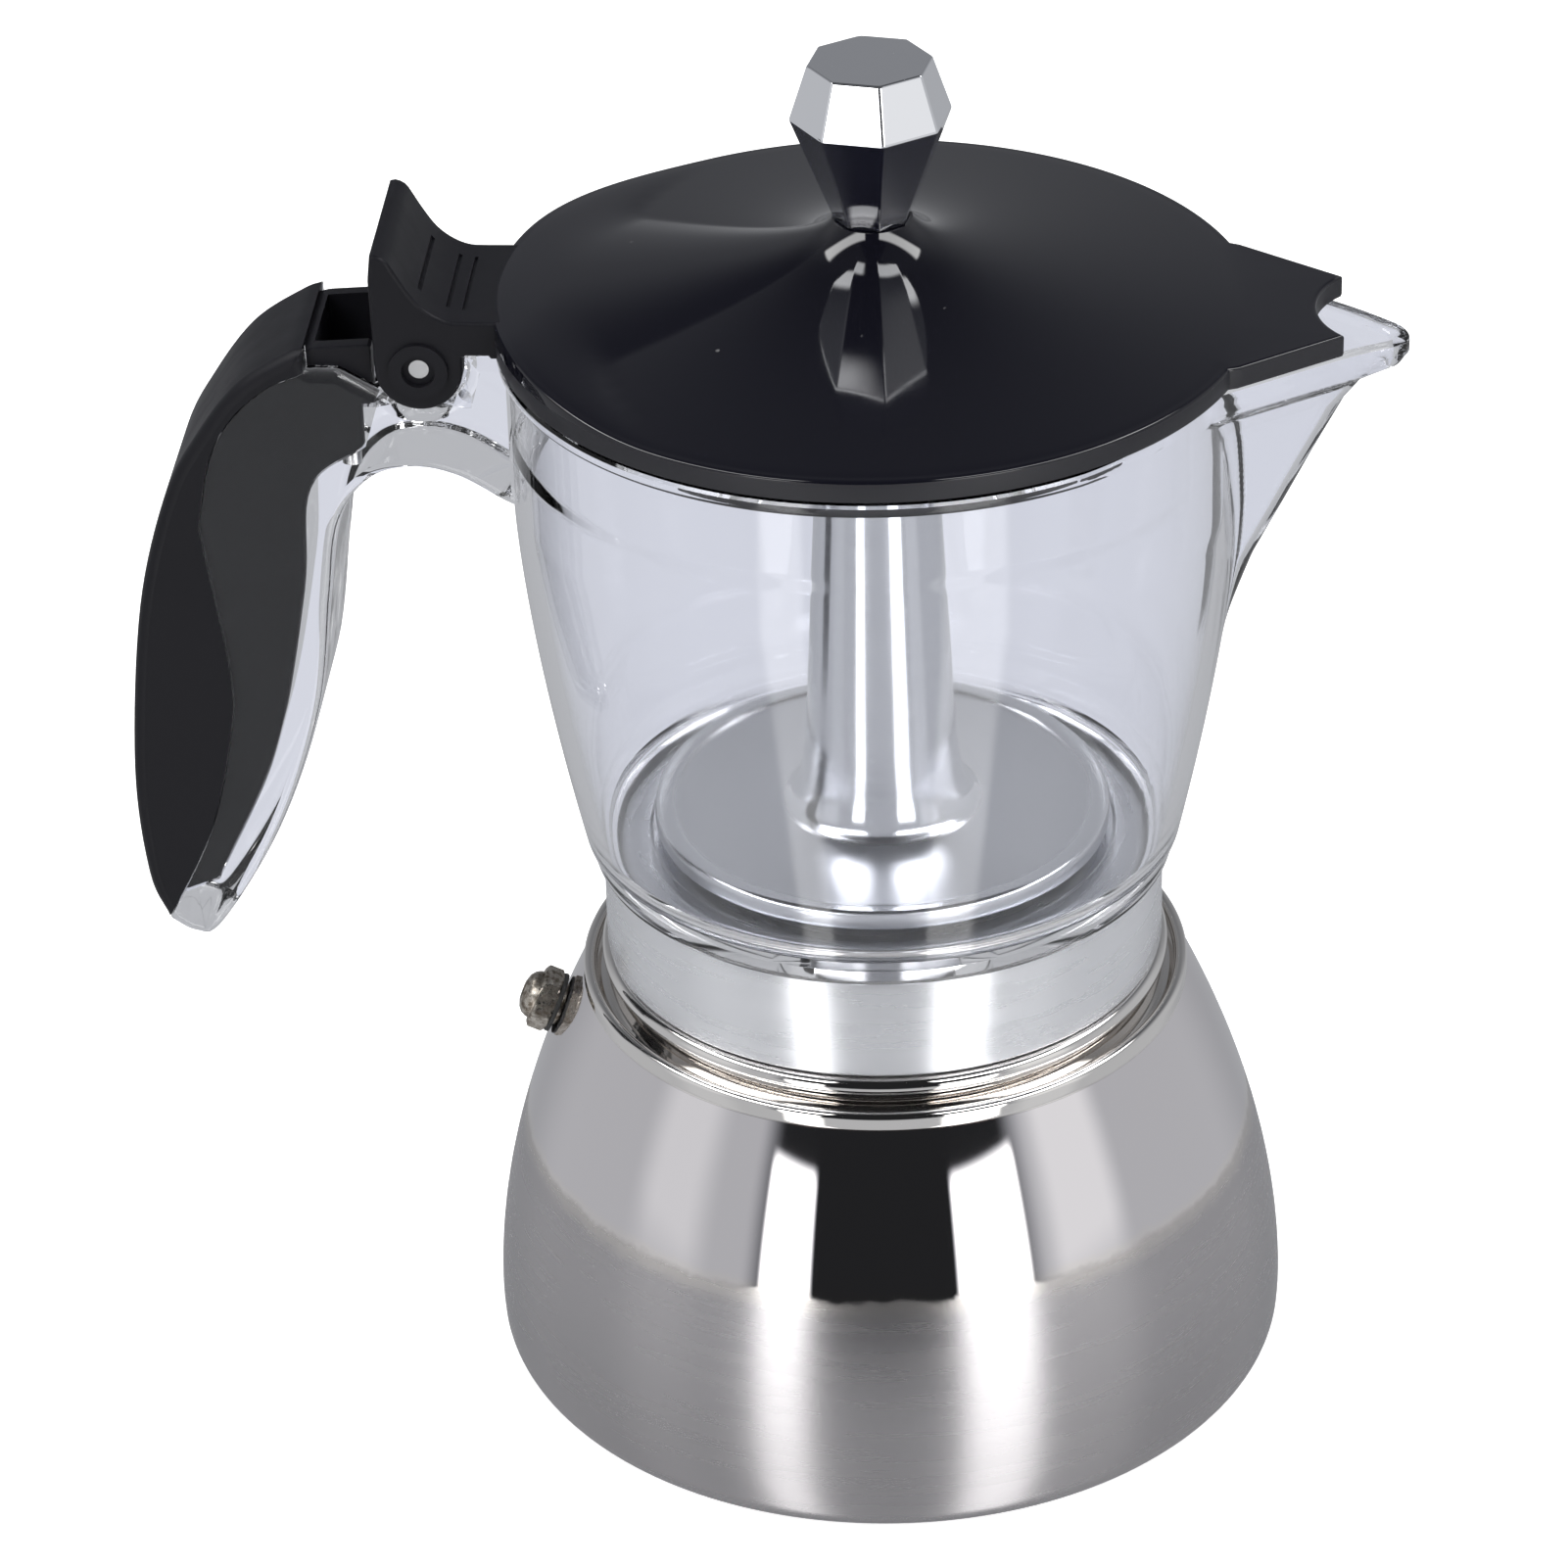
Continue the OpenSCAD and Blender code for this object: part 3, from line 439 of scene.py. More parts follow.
def boiler_steel():
    """Drawn steel: brushed satin up to a hand-buffed edge, and mirror-polished above it. The edge wanders by
    1.5 mm, has a slightly brown band below it, and the satin is darker towards the foot."""
    scene = bpy.context.scene
    look, edge = scene.moka_finishes, scene.moka_sizes.polish_from
    mat, t, to = surface("boiler steel", Metallic=1.0, Anisotropic=0.6, Anisotropic_Rotation=0.25)
    t.feed(to["Tangent"], t.tangent())
    z = t.height()
    height = t.add(z, t.mul(t.sub(t.noise(t.place(), 120.0, 4.0, 0.7), 0.5), 0.0030))
    polish = t.ramp(height, edge - 0.0003, edge + 0.0009)
    rings = t.group(shared(turned_lines), Lines_per_mm=9.0)
    satin = t.add(t.ramp(rings["Streaks"], 0.3, 0.7, -0.012, 0.012), look.satin_roughness)
    t.feed(to["Roughness"], t.math("MULTIPLY_ADD", polish, t.sub(0.03, satin), satin))
    low = tuple(look.satin_steel)
    brushed = t.blend(t.ramp(z, 0.004, 0.03), tuple(c * 0.82 for c in low), low)
    base = t.blend(polish, brushed, tuple(look.polished_steel))
    band = t.mul(t.ramp(height, edge - 0.0028, edge), t.ramp(height, edge + 0.0006, edge + 0.002, 1.0, 0.0))
    t.feed(to["Base Color"], t.blend(t.mul(band, 0.35), base, (0.84, 0.79, 0.72)))
    t.feed(to["Normal"], t.bump(t.mul(rings["Height"], t.sub(1.0, polish)), 0.22, 0.00003))
    return mat


def mirror_metal(name, colour, rough=0.03, ripple=0.0):
    """Bright metal with wipe marks, and a ripple in its plating where one is given."""
    mat, t, to = surface(name, Base_Color=colour, Metallic=1.0, Roughness=rough)
    marks = t.group(shared(handling_marks), Amount=1.0, Size_per_mm=0.2)
    t.feed(to["Roughness"], t.math("MULTIPLY_ADD", marks["Smear"], 0.06, rough))
    if ripple:
        t.feed(to["Normal"], t.bump(t.noise(t.place(), 160.0, 2.0), ripple, 0.0002))
    return mat


def black_plastic(name, colour, rough, grain=0.3, sheen=0.14, cloud=0.06, satin_below=None):
    """Moulded plastic: eroded grain in its bump, a cloudy sheen and a few specks of dust. Below the height
    satin_below, in millimetres, it is satin."""
    mat, t, to = surface(name, Base_Color=colour, Roughness=rough, IOR=1.5, Specular_IOR_Level=sheen)
    skin = t.group(shared(moulded_grain), Grains_per_mm=6.0)
    marks = t.group(shared(handling_marks), Amount=0.8, Size_per_mm=0.1)
    dull = t.add(t.ramp(skin["Cloud"], 0.3, 0.7, rough - cloud, rough + cloud), t.mul(marks["Smear"], 0.05))
    if satin_below:
        edge = satin_below * MM
        dull = t.add(dull, t.ramp(t.height(), edge - 0.0001, edge + 0.0001, 0.45, 0.0))
    t.feed(to["Roughness"], dull)
    t.feed(to["Base Color"], t.blend(marks["Specks"], colour, tuple(min(1.0, c + 0.12) for c in colour)))
    if grain:
        t.feed(to["Normal"], t.bump(skin["Height"], grain, 0.00001))
    return mat


def soft_seal(name, colour):
    """Rubber or silicone: fine pores and a slow cloudiness."""
    mat, t, to = surface(name, Base_Color=colour, Roughness=0.6)
    t.feed(to["Normal"], t.bump(t.noise(t.place(), 900.0, 3.0), 0.3, 0.0001))
    t.feed(to["Base Color"], t.blend(t.noise(t.place(), 60.0, 3.0), tuple(c * 0.85 for c in colour), colour))
    return mat


def worn_nickel():
    """Nickel gone brown and mottled."""
    mat, t, to = surface("worn nickel", Metallic=1.0)
    mottle = t.noise(t.place(), 900.0, 5.0, 0.7)
    t.feed(to["Base Color"], t.blend(t.ramp(mottle, 0.35, 0.65), (0.16, 0.13, 0.10), (0.62, 0.58, 0.52)))
    t.feed(to["Roughness"], t.ramp(mottle, 0.3, 0.7, 0.5, 0.2))
    t.feed(to["Normal"], t.bump(mottle, 0.4, 0.0001))
    return mat


# ---- sizes and colours

def colour_property(name, about, *value):
    return FloatVectorProperty(name=name, description=about, subtype="COLOR", default=value, min=0, max=1)


class MokaSizes(bpy.types.PropertyGroup):
    """Sizes that the looks add to the frame's own"""
    segments: IntProperty(
        name="Segments", description="Points round each turned piece", default=192, min=48, max=384)
    polish_from: FloatProperty(
        name="Polish from", description="Height at which the boiler's mirror polish starts", default=0.0335,
        min=0.02, max=0.05, subtype="DISTANCE", unit="LENGTH", precision=4)
    lens: FloatProperty(
        name="Lens", description="Focal length of the camera", default=138.85, min=50, max=300)


class MokaFinishes(bpy.types.PropertyGroup):
    """Colours and roughness of the finishes"""
    satin_steel: colour_property("Satin steel", "Colour of the boiler's brushed part", 0.485, 0.469, 0.478)
    polished_steel: colour_property("Polished steel", "Colour of its polished part", 0.785, 0.76, 0.775)
    satin_roughness: FloatProperty(
        name="Satin roughness", description="Roughness of the brushed steel", default=0.27, min=0.05, max=0.8)
    clear: colour_property("Clear plastic", "Tint of the jug", 0.965, 0.97, 0.99)
    aluminium: colour_property("Aluminium", "Colour of the collar and the column", 0.78, 0.79, 0.82)
    dark: colour_property("Dark plastic", "Colour of the lever and the handle's insert", 0.007, 0.007, 0.009)
    gloss_dark: colour_property("Glossy dark plastic", "Colour of the lid", 0.004, 0.004, 0.007)


# ---- boiler

def belly(z):
    """Radius of the boiler: widest at 6 mm, then drawn in by a power of the height."""
    widest, at = 52.95, 6.0
    drawn = 12.9 * np.clip((z - at) / (SEAM - 0.1 - at), 0, None) ** 1.85
    return widest - np.where(z < at, 0.6 * (np.clip(at - z, 0, None) / at) ** 2, drawn)


class MOKA_OT_boiler(bpy.types.Operator):
    """Drawn boiler shell, its rolled lip and neck, and the base disc"""
    bl_idname = "moka.boiler"
    bl_label = "Boiler"

    def execute(self, context):
        n = context.scene.moka_sizes.segments
        wall, foot_r = 0.9, 3.5
        z = np.linspace(foot_r, SEAM, 40)
        foot = arc((float(belly(foot_r)) - foot_r, foot_r), foot_r, 274, 360, 12)
        outer = np.stack([belly(z), z], 1)
        shell = np.vstack([[[46.9, 0.6], [47.3, 0.25]], foot, outer[1:], [[39.0, SEAM + 0.1]],
                           (outer - [wall, 0])[:0:-1], [[47.9, 5.0], [0, 4.4], [0, 3.6], [46.9, 3.6]]])
        body = turned("boiler_body", shell, n)
        dressed(body, "boiler", "brushed_steel_shell", boiler_steel(), "boiler_shell")

        steel = mirror_metal("neck steel", (0.82, 0.80, 0.78), 0.035)
        shoulder, neck_r = NECK_TOP - 10.3, 33.0
        lip = np.vstack([
            [[40.02, SEAM + 0.05]], arc((39.72, SEAM + 0.35), 0.3, -40, 20, 3),
            arc((39.15, SEAM + 1.55), 0.85, 0, 180, 12),
            [[38.25, SEAM + 0.9], [37.7, SEAM + 0.55], [37.15, SEAM + 0.6]],
            arc((36.15, SEAM + 4.4), 1.25, -20, 90, 8),
            [[33.6, shoulder], [33.2, shoulder + 0.35], [neck_r, shoulder + 0.9], [neck_r, NECK_TOP - 0.4],
             [32.6, NECK_TOP], [31.6, NECK_TOP], [31.6, shoulder - 1], [35.4, shoulder - 2],
             [35.6, SEAM - 0.2], [36.4, SEAM - 0.7], [38.8, SEAM - 0.7], [39.1, SEAM]]])
        dressed(turned("boiler_lip", lip, n), "boiler", "polished_steel", steel, "boiler_neck")
        thread = self.helix("boiler_thread", neck_r, 1, shoulder + 1.8, 2.37)
        dressed(thread, "boiler", "polished_steel", steel)

        rings = [[0, 0.25], [9, 0.25], [9.4, 0.0], [20, 0.0], [20.4, 0.25], [32, 0.25], [32.4, 0], [45.9, 0]]
        base = np.vstack([rings, arc((45.8, 0.8), 0.8, 285, 360, 6), [[46.6, 3.5], [0, 3.5]]])
        dressed(turned("base_plate", base, n), "boiler", "base_steel",
                turned_metal("base steel", (0.52, 0.51, 0.50), 0.34, 3.0, 0.4, 0.12), "base_disc")
        return {"FINISHED"}

    @staticmethod
    def helix(name, root, side, low, turns):
        """A thread: a trapezium carried along a helix, whose height dies out at both ends. Its crest stands
        out from the root radius when side is 1, and inwards when side is -1."""
        t = np.linspace(0, 1, int(turns * 64))[:, None]
        height = np.minimum(1, np.minimum(0.03 + 12 * t, 0.03 + 12 * (1 - t))) * RIDGE * side
        foot, crest = np.full_like(t, -0.3), height
        r = root + np.concatenate([foot, crest, crest, foot], 1)
        up = np.array([-0.75, -0.42, 0.42, 0.75])
        rows = polar(r, 2 * np.pi * turns * t, low + PITCH * turns * t + up)
        return grid(name, rows, loop_rows=False, caps=True)


class MOKA_OT_valve(bpy.types.Operator):
    """Safety valve: chamfered hexagon, domed nose, pin and washer"""
    bl_idname = "moka.valve"
    bl_label = "Safety valve"

    def execute(self, context):
        joint = next(joint for joint in frame["joints"] if joint["name"] == "valve_lift")
        axis, high = joint["axis"], SEAM - 8.6
        turn, lean = math.atan2(axis[1], axis[0]), math.asin(axis[2])
        place = (Matrix.Rotation(turn, 4, "Z") @ Matrix.Translation((float(belly(high)) * MM, 0, high * MM))
                 @ Matrix.Rotation(math.pi / 2 - lean, 4, "Y"))
        nickel = worn_nickel()
        # A hexagon's radius round its axis, cut back by a cone at each end, which leaves the bright chamfers.
        a = np.linspace(0, 2 * np.pi, 96, endpoint=False)[:, None]
        hexagon = 3.8 / np.cos((a + np.pi / 6) % (np.pi / 3) - np.pi / 6)
        z = np.array([0.8, 0.95, 1.1, 1.3, 2.0, 2.8, 3.05, 3.2, 3.4])
        cone = 3.86 + np.minimum(z - z[0], z[-1] - z) * 1.6
        nose = np.array([[3.3, 3.45], [3.2, 3.9], [2.9, 4.5], [2.3, 5.0], [1.45, 5.3], [1.12, 5.25],
                         [1.1, 3.0], [2.1, 2.0], [2.1, -3.9], [1.1, -4.0], [1.1, -4.7], [2.9, -4.7],
                         [2.9, 0.8]])
        sides = polar(np.minimum(hexagon, cone), a, z)
        body = grid("valve_hexagon", np.concatenate([sides, polar(nose[:, 0], a, nose[:, 1])], 1), sharp=25)
        washer = turned("valve_ring", [[2.95, 0.2], [4.0, 0.2], [4.1, 0.3], [4.1, 0.7], [4.0, 0.8],
                                       [2.95, 0.8]], 64)
        pin = turned("valve_tip", [[0, -3.9], [1.95, -3.9], [1.95, -3.0], [1.05, -3.0], [1.05, 4.5],
                                   [0.8, 4.75], [0, 4.8]], 48)
        for piece in (body, washer, pin):
            piece.data.transform(place)
        dressed(body, "boiler", "valve_nickel", nickel, "valve_body")
        rubber = soft_seal("black washer", (0.02, 0.02, 0.02))
        dressed(washer, "boiler", "washer_rubber", rubber, "valve_washer")
        dressed(pin, "valve_pin", "valve_nickel", nickel, "valve_pin")
        painted("valve_nut", nickel)
        self.coil(Vector(axis).normalized(), joint["range_m"][1])
        return {"FINISHED"}

    @staticmethod
    def coil(axis, lift):
        """The spring: a copy of its solid. The lift that it is given is not used."""
        coil = bpy.data.objects.new("valve_coil", frame["nodes"]["valve_spring"].data.copy())
        coil.data.materials.clear()
        bpy.context.scene.collection.objects.link(coil)
        tidy(coil, sharp=40)
        wire = mirror_metal("spring wire", (0.7, 0.7, 0.72), 0.15)
        dressed(coil, "boiler", "spring_steel", wire, "valve_spring")
        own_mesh(coil)


class MOKA_OT_brewing(bpy.types.Operator):
    """Funnel, filters and gasket inside the pot"""
    bl_idname = "moka.brewing"
    bl_label = "Funnel and filters"

    def execute(self, context):
        satin = turned_metal("funnel aluminium", (0.70, 0.71, 0.73), 0.32, 4.0, 0.2, 0.08)
        for node in ("funnel", "funnel_tube", "funnel_filter", "filter_plate"):
            painted(node, satin)
        painted("gasket", soft_seal("gasket silicone", (0.72, 0.70, 0.66)))
        return {"FINISHED"}


# ---- collar and column

class MOKA_OT_column(bpy.types.Operator):
    """Threaded collar, the column with its disc, the cap and the seal under it"""
    bl_idname = "moka.column"
    bl_label = "Collar and column"

    def execute(self, context):
        n = context.scene.moka_sizes.segments
        colour = tuple(context.scene.moka_finishes.aluminium)
        low, top, bore = COLLAR_LOW, JUG_LOW, 34.1
        outer = bent([[34.5, low], [36.6, low], [36.6, top], [34.0, top], [9.03, top], [9.03, top - 1.0],
                      [26.5, top - 1.0], [26.5, top - 2.0], [bore, top - 2.0], [bore, low + 0.4]],
                     [0.2, 0.5, 0.6, 0, 0.2, 0, 0, 0, 0.2, 0.2], 5)
        satin = turned_metal("collar aluminium", colour, 0.28, 7.0, 0.12, 0.03, 0.8, 0.85)
        dressed(turned("collar_ring", outer, n), "upper", "satin_aluminium", satin, "collar")
        thread = MOKA_OT_boiler.helix("collar_thread", bore, -1, NECK_TOP - 7.0, 1.77)
        dressed(thread, "upper", "satin_aluminium", satin)

        low, top = DISC_LOW, DISC_LOW + 2.6
        plate_z, column_top = top - 0.45, CAP_TOP - 6.5
        flare = flow([[13.3, plate_z], [12.6, plate_z + 0.45], [11.4, plate_z + 1.7], [10.4, plate_z + 4.6],
                      [9.8, plate_z + 9.0]], 5)
        profile = np.vstack([
            [[4, JUG_LOW - 1.0], [9, JUG_LOW - 1.0], [9, low]],
            bent([[20, low], [29.8, low], [29.8, top], [27.6, top], [26.9, plate_z], [20, plate_z]],
                 [0, 0.8, 0.9, 0.7, 0.3, 0], 6),
            flare, [[7.75, column_top - 0.25], [7.5, column_top], [5.4, column_top], [5.4, plate_z + 2],
                    [4, plate_z]]])
        lighter = tuple(min(1, c * 1.06) for c in colour)
        bright = turned_metal("column aluminium", lighter, 0.15, 5.0, 0.08, 0.02, 0.6, 0.9, plate_z + 0.2)
        dressed(turned("column_riser", profile, n), "upper", "satin_aluminium", bright, "column")

        dome_r, dome_low = 7.9, column_top + 1.5
        t = np.radians(np.arange(0, 91, 10))
        dome = np.vstack([[[0, column_top - 4], [5.35, column_top - 4], [5.35, column_top],
                           [dome_r, column_top + 0.05]],
                          np.stack([dome_r * np.cos(t), dome_low + 4.95 * np.sin(t)], 1)])
        cap = turned("column_dome", dome, 96)
        cut(cap, arc((0, column_top + 2), 1.5, 0, 345, 24), -10, 10)
        dressed(cap, "upper", "satin_aluminium", bright, "column_cap")
        seal = bent([[20.8, low - 1], [27.3, low - 1], [27.3, low], [20.8, low]], 0.25)
        dressed(turned("floor_seal", seal, 128), "upper", "seal_silicone",
                soft_seal("seal silicone", (0.75, 0.74, 0.71)), "jug_seal")
        return {"FINISHED"}


# ---- jug

JUG_WALL = 2.2


def jug_radius(z):
    """Outer radius of the jug: it bulges out over 50 mm above its floor by a power of the height."""
    return 46.0 - 7.2 * np.clip(1 - (z - JUG_LOW - 2.8) / 50.0, 0, None) ** 1.5


def spout_ridge(z):
    """Distance of the spout's ridge from the axis: it leans out, then turns over into the beak."""
    h = RIM - np.array([60, 41.2, 31.1, 24.0, 16.3, 8.6, 5.6, 4.5, 3.6, 2.4, 1.0, 0.0])
    x = np.array([38.0, 44.1, 47.7, 51.2, 54.9, 58.8, 61.2, 63.6, 65.7, 66.5, 66.62, 66.4])
    return np.interp(z, h, x)


def jug_skin(theta, z, wall):
    """Distance of the jug's skin from the axis: the larger of the body's radius and the spout's, blended
    where they meet. The spout is a rounded V, whose flanks are lines with normals at 56 degrees and whose
    nose is an arc. It ends at 1 radian."""
    lean, nose, soft = math.radians(56), 4.0, 0.35
    a = np.abs(theta)
    c = spout_ridge(z + wall * 0.35) - nose
    nose = nose - wall
    flank = (c * math.cos(lean) + nose) / np.clip(np.cos(a - lean), 0.2, None)
    tip = c * np.cos(a) + np.sqrt(np.clip(nose ** 2 - (c * np.sin(a)) ** 2, 0, None))
    meet = np.arctan2(nose * math.sin(lean), c + nose * math.cos(lean))
    spout = np.where(a > 1.0, 0, np.where(a < meet, tip, flank))
    body = jug_radius(z) - wall
    return np.where(np.abs(spout - body) < 4 * soft,
                    soft * np.logaddexp(spout / soft, body / soft), np.maximum(spout, body))


def from_pin(*parts):
    """Outline in the X-Z plane, put together from parts that are measured from the hinge's axis."""
    return np.vstack(parts) + PIN[[0, 2]]


# Outlines of the handle in the X-Z plane, measured from the hinge's axis, in millimetres.
SPLIT = flow([[-13.2, -0.6], [-19, -3], [-24, -7.5], [-27.2, -13.5], [-29.2, -23]], 8)
SPLIT_LOW = flow([[-29.2, -23], [-26.6, -44.5], [-27.5, -55], [-31, -68.5], [-37.5, -82]], 8)
GRIP = flow([[-37.5, -82], [-34.2, -83.9], [-30.6, -82.6], [-22, -68], [-15.6, -50], [-13, -33], [-11, -21.5],
             [-7, -16], [-1.5, -14.5], [4, -15.7], [10, -19.3], [14, -21]], 8)
SPINE = flow([[-14.4, 2.1], [-17, 1.1], [-23.5, -3.3], [-29, -10.5], [-33.5, -19], [-38, -35.5], [-40.5, -59],
              [-39.8, -75], [-37.5, -82]], 8)
CORE = flow([[-7.5, -11.8], [-14.8, -17.8], [-16.5, -32.5], [-21.6, -56], [-30.5, -76]], 8)
# What lies behind the line where the dark spine meets the clear handle.
OUTSIDE = from_pin([[-14.5, 12], [-14.5, -1.05]], SPLIT[6:-1], SPLIT_LOW, [[-38, -95], [-80, -95], [-80, 12]])
BEYOND = 12


def handle_blank(name):
    """The whole grip at full width, its long edges rounded: the clear part and the spine are cut from it."""
    outline = from_pin(SPINE[:-1], GRIP, [[14, 1.2], [6.1, 1.2]], arc((0, 0), 5.9, 8, -115, 24),
                       [[-10.2, -0.8], [-13.2, -0.7], [-14.3, -0.9]])
    return plate(name, outline, -10.5, 10.5, 1.6, 6)


class MOKA_OT_jug(bpy.types.Operator):
    """Clear jug with its spout and rim, and its channelled handle"""
    bl_idname = "moka.jug"
    bl_label = "Jug"

    def execute(self, context):
        clear = clear_plastic()
        dressed(self.body(), "upper", "clear_copolyester", clear, "jug")
        dressed(flat_faced(self.grip()), "upper", "clear_copolyester", clear, "grip")
        return {"FINISHED"}

    @staticmethod
    def body():
        """The jug as rings of points, closest at the spout: underside, outside, rim, inside and floor."""
        low, floor = JUG_LOW, JUG_LOW + 2.8
        near = np.concatenate([np.linspace(0, 8, 25), np.linspace(8, 34, 53)[1:], np.linspace(34, 60, 20)[1:],
                               np.linspace(60, 180, 62)[1:]])
        theta = np.radians(np.concatenate([near, -near[-2:0:-1]]))[:, None]
        away = np.abs(theta)
        rise = np.concatenate([np.linspace(floor + 0.9, RIM - 9, 60), np.linspace(RIM - 8.6, RIM - 3.6, 14),
                               np.linspace(RIM - 3.3, RIM - 1.9, 4)])
        inner_z = np.append(rise[2:], RIM - 1.0)
        inner = jug_skin(theta, inner_z, JUG_WALL)
        inner += np.where(inner_z > 136.0, 0.25, 0.0) * np.clip((away - 0.5) * 4, 0, 1)
        # The rim is a bead that dies out towards the spout, at whose tip its edge dips.
        top = jug_skin(theta, np.array([[RIM - 1.6]]), 0.0)
        swell = np.clip((away - 0.62) * 3.0, 0.0, 1.0)
        bead = np.concatenate([top + swell, top + swell * 1.25, top + swell * 1.25, top + swell - 0.05,
                               top + swell * 0.6 - 0.5, inner[:, -1:] + 0.9, inner[:, -1:] + 0.25], 1)
        bead_z = np.array([RIM - 1.7, RIM - 1.2, RIM - 0.5, RIM - 0.15, RIM, RIM, RIM - 0.25])
        dip = 0.9 * np.exp(-(theta / 0.09) ** 2) * np.clip(bead / 60 - 0.9, 0, 1) * 4
        under = ((9.3, low + 0.04), (37.5, low + 0.04), (37.9, low + 0.4), (37.9, low + 2.3),
                 (38.1, low + 2.6), (38.7, low + 2.9))
        foot = ((36.35, floor + 1.9), (35.9, floor + 0.95), (35.1, floor + 0.3), (33.9, floor), (30.6, floor),
                (30.2, floor - 0.3), (9.3, floor - 0.3))
        rows = [polar(r, theta, z) for r, z in under]
        rows += [polar(jug_skin(theta, rise, 0.0), theta, rise), polar(bead, theta, bead_z - dip),
                 polar(inner[:, ::-1], theta, inner_z[::-1])]
        rows += [polar(r, theta, z) for r, z in foot]
        return grid("jug_clear", np.concatenate(rows, 1), sharp=28)

    @staticmethod
    def grip():
        """The clear handle: the blank without its spine, with a channel for the core, cut back to the jug's
        wall, and with two ears for the hinge's pin."""
        handle = handle_blank("clear_grip")
        cut(handle, OUTSIDE, -BEYOND, BEYOND)
        channel = from_pin([[-7.5, -6.2]], CORE,
                           [[-34.9, -78], [-60, -78], [-60, 20], [6.1, 20], [6.1, -6.2]])
        cut(handle, channel, -8.5, 8.5)
        z = np.linspace(100, RIM - 2, 24)
        inside = np.vstack([[[0, z[0]]], np.stack([jug_radius(z) + 0.02, z], 1),
                            [[47.2, RIM - 1.4], [47.2, 170], [0, 170]]])
        combine(handle, turned("inside", inside, 256), "DIFFERENCE")
        ear = from_pin([[-5.0, -6.7]], arc((0, 0), 4.2, 180, 0, 20), [[6.5, -2], [6.5, -6.7]])
        for low in (-8.3, 6.5):
            combine(handle, plate("ear", ear, low, low + 1.8, 0.25), "UNION")
        cut(handle, from_pin(arc((0, 0), 1.28, 0, 345, 24)), -9, 9, 28)
        return handle


class MOKA_OT_handle(bpy.types.Operator):
    """Dark insert of the handle, its screw and the hinge pin"""
    bl_idname = "moka.handle"
    bl_label = "Handle insert"

    def execute(self, context):
        dark = black_plastic("dark plastic", tuple(context.scene.moka_finishes.dark), 0.42)
        gap = np.array([-0.17, 0])
        spine = handle_blank("spine")
        combine(spine, prism(OUTSIDE + gap, -BEYOND, BEYOND), "INTERSECT")
        core = from_pin([[-7.62, -5.9]], CORE + gap, [[-34.8, -77.7], [-37.6, -77.7]],
                        SPINE[::-1][10:] + [0.9, -0.5], [[-6.2, 2.1], [-6.2, -5.9]])
        insert = plate("handle_core", core, -8.38, 8.38, 0.25, 3)
        combine(insert, spine, "UNION")
        cut(insert, from_pin([[-13.5, 8], [-13.5, -7.9], [-4, -7.9], [-4, 8]]), -6.5, 6.5)
        dressed(flat_faced(insert), "upper", "dark_plastic", dark, "handle_insert")
        steel = mirror_metal("pin steel", (0.72, 0.72, 0.72), 0.22)
        painted("handle_screws", steel)
        painted("hinge_pin", steel)
        return {"FINISHED"}


# ---- lid

LID_WALL = 2.0


def lid_height(r, edge, top):
    """Height of the lid's top: a shallow cone, a hollow that dies out with exp(-(r - 5) / 12) and a short
    flare at the knob that dies out with exp(-(r - 5) / 2.2), scaled to end at the knob."""
    rise = 0.14 * (47.1 - r) + 4.6 * (np.exp(-(r - 5.0) / 12.0) - 0.03) + 2.0 * np.exp((5.0 - r) / 2.2)
    return edge + (top - edge) * rise / 12.356


def lever_ramp(r, theta):
    """How far the lid rises above its cone towards the lever: 2 mm at the rim, dying out at the knob's foot
    with 1 - exp(-(r - 6) / 22). Over the cone it is crowned across and ends in a crease at 33 degrees from
    the lever's axis; at the rim it is flat to 18 degrees and ends smoothly at 60."""
    off = 180 - np.abs(np.degrees(theta))
    out = np.clip((r - 36.0) / 11.0, 0, 1)
    out = out * out * (3 - 2 * out)
    share = np.clip((off - 18 * out) / (33 + 9 * out), 0, 1)
    fall = (1 - out) * (1 - share ** 2.5) ** 1.1 + out * (1 - share * share * (3 - 2 * share))
    return 2.0 * fall * np.clip(1 - np.exp(-(r - 6.0) / 22.0), 0, 1) / 0.845


def lid_rim(theta):
    """Outline of the lid in plan as its distance from the axis: a circle, the straight flanks of the beak
    cover, and the round notch at its end. Then the angles at which notch and flanks end."""
    radius, reach, half, notch, root_x, root_y = 47.6, 58.2, 8.2, 3.3, 45.6, 17.0
    a = np.abs(theta)
    notch_r = (half ** 2 + notch ** 2) / (2 * notch)
    centre = reach - notch + notch_r
    scoop = centre * np.cos(a) - np.sqrt(np.clip(notch_r ** 2 - (centre * np.sin(a)) ** 2, 0, None))
    flank = (reach * root_y - half * root_x) / (np.cos(a) * (root_y - half) - np.sin(a) * (root_x - reach))
    corner, root = math.atan2(half, reach), math.atan2(root_y, root_x)
    rim = np.where(a <= corner + 1e-9, scoop, np.where(a <= root, np.maximum(flank, radius), radius))
    return rim, corner, root


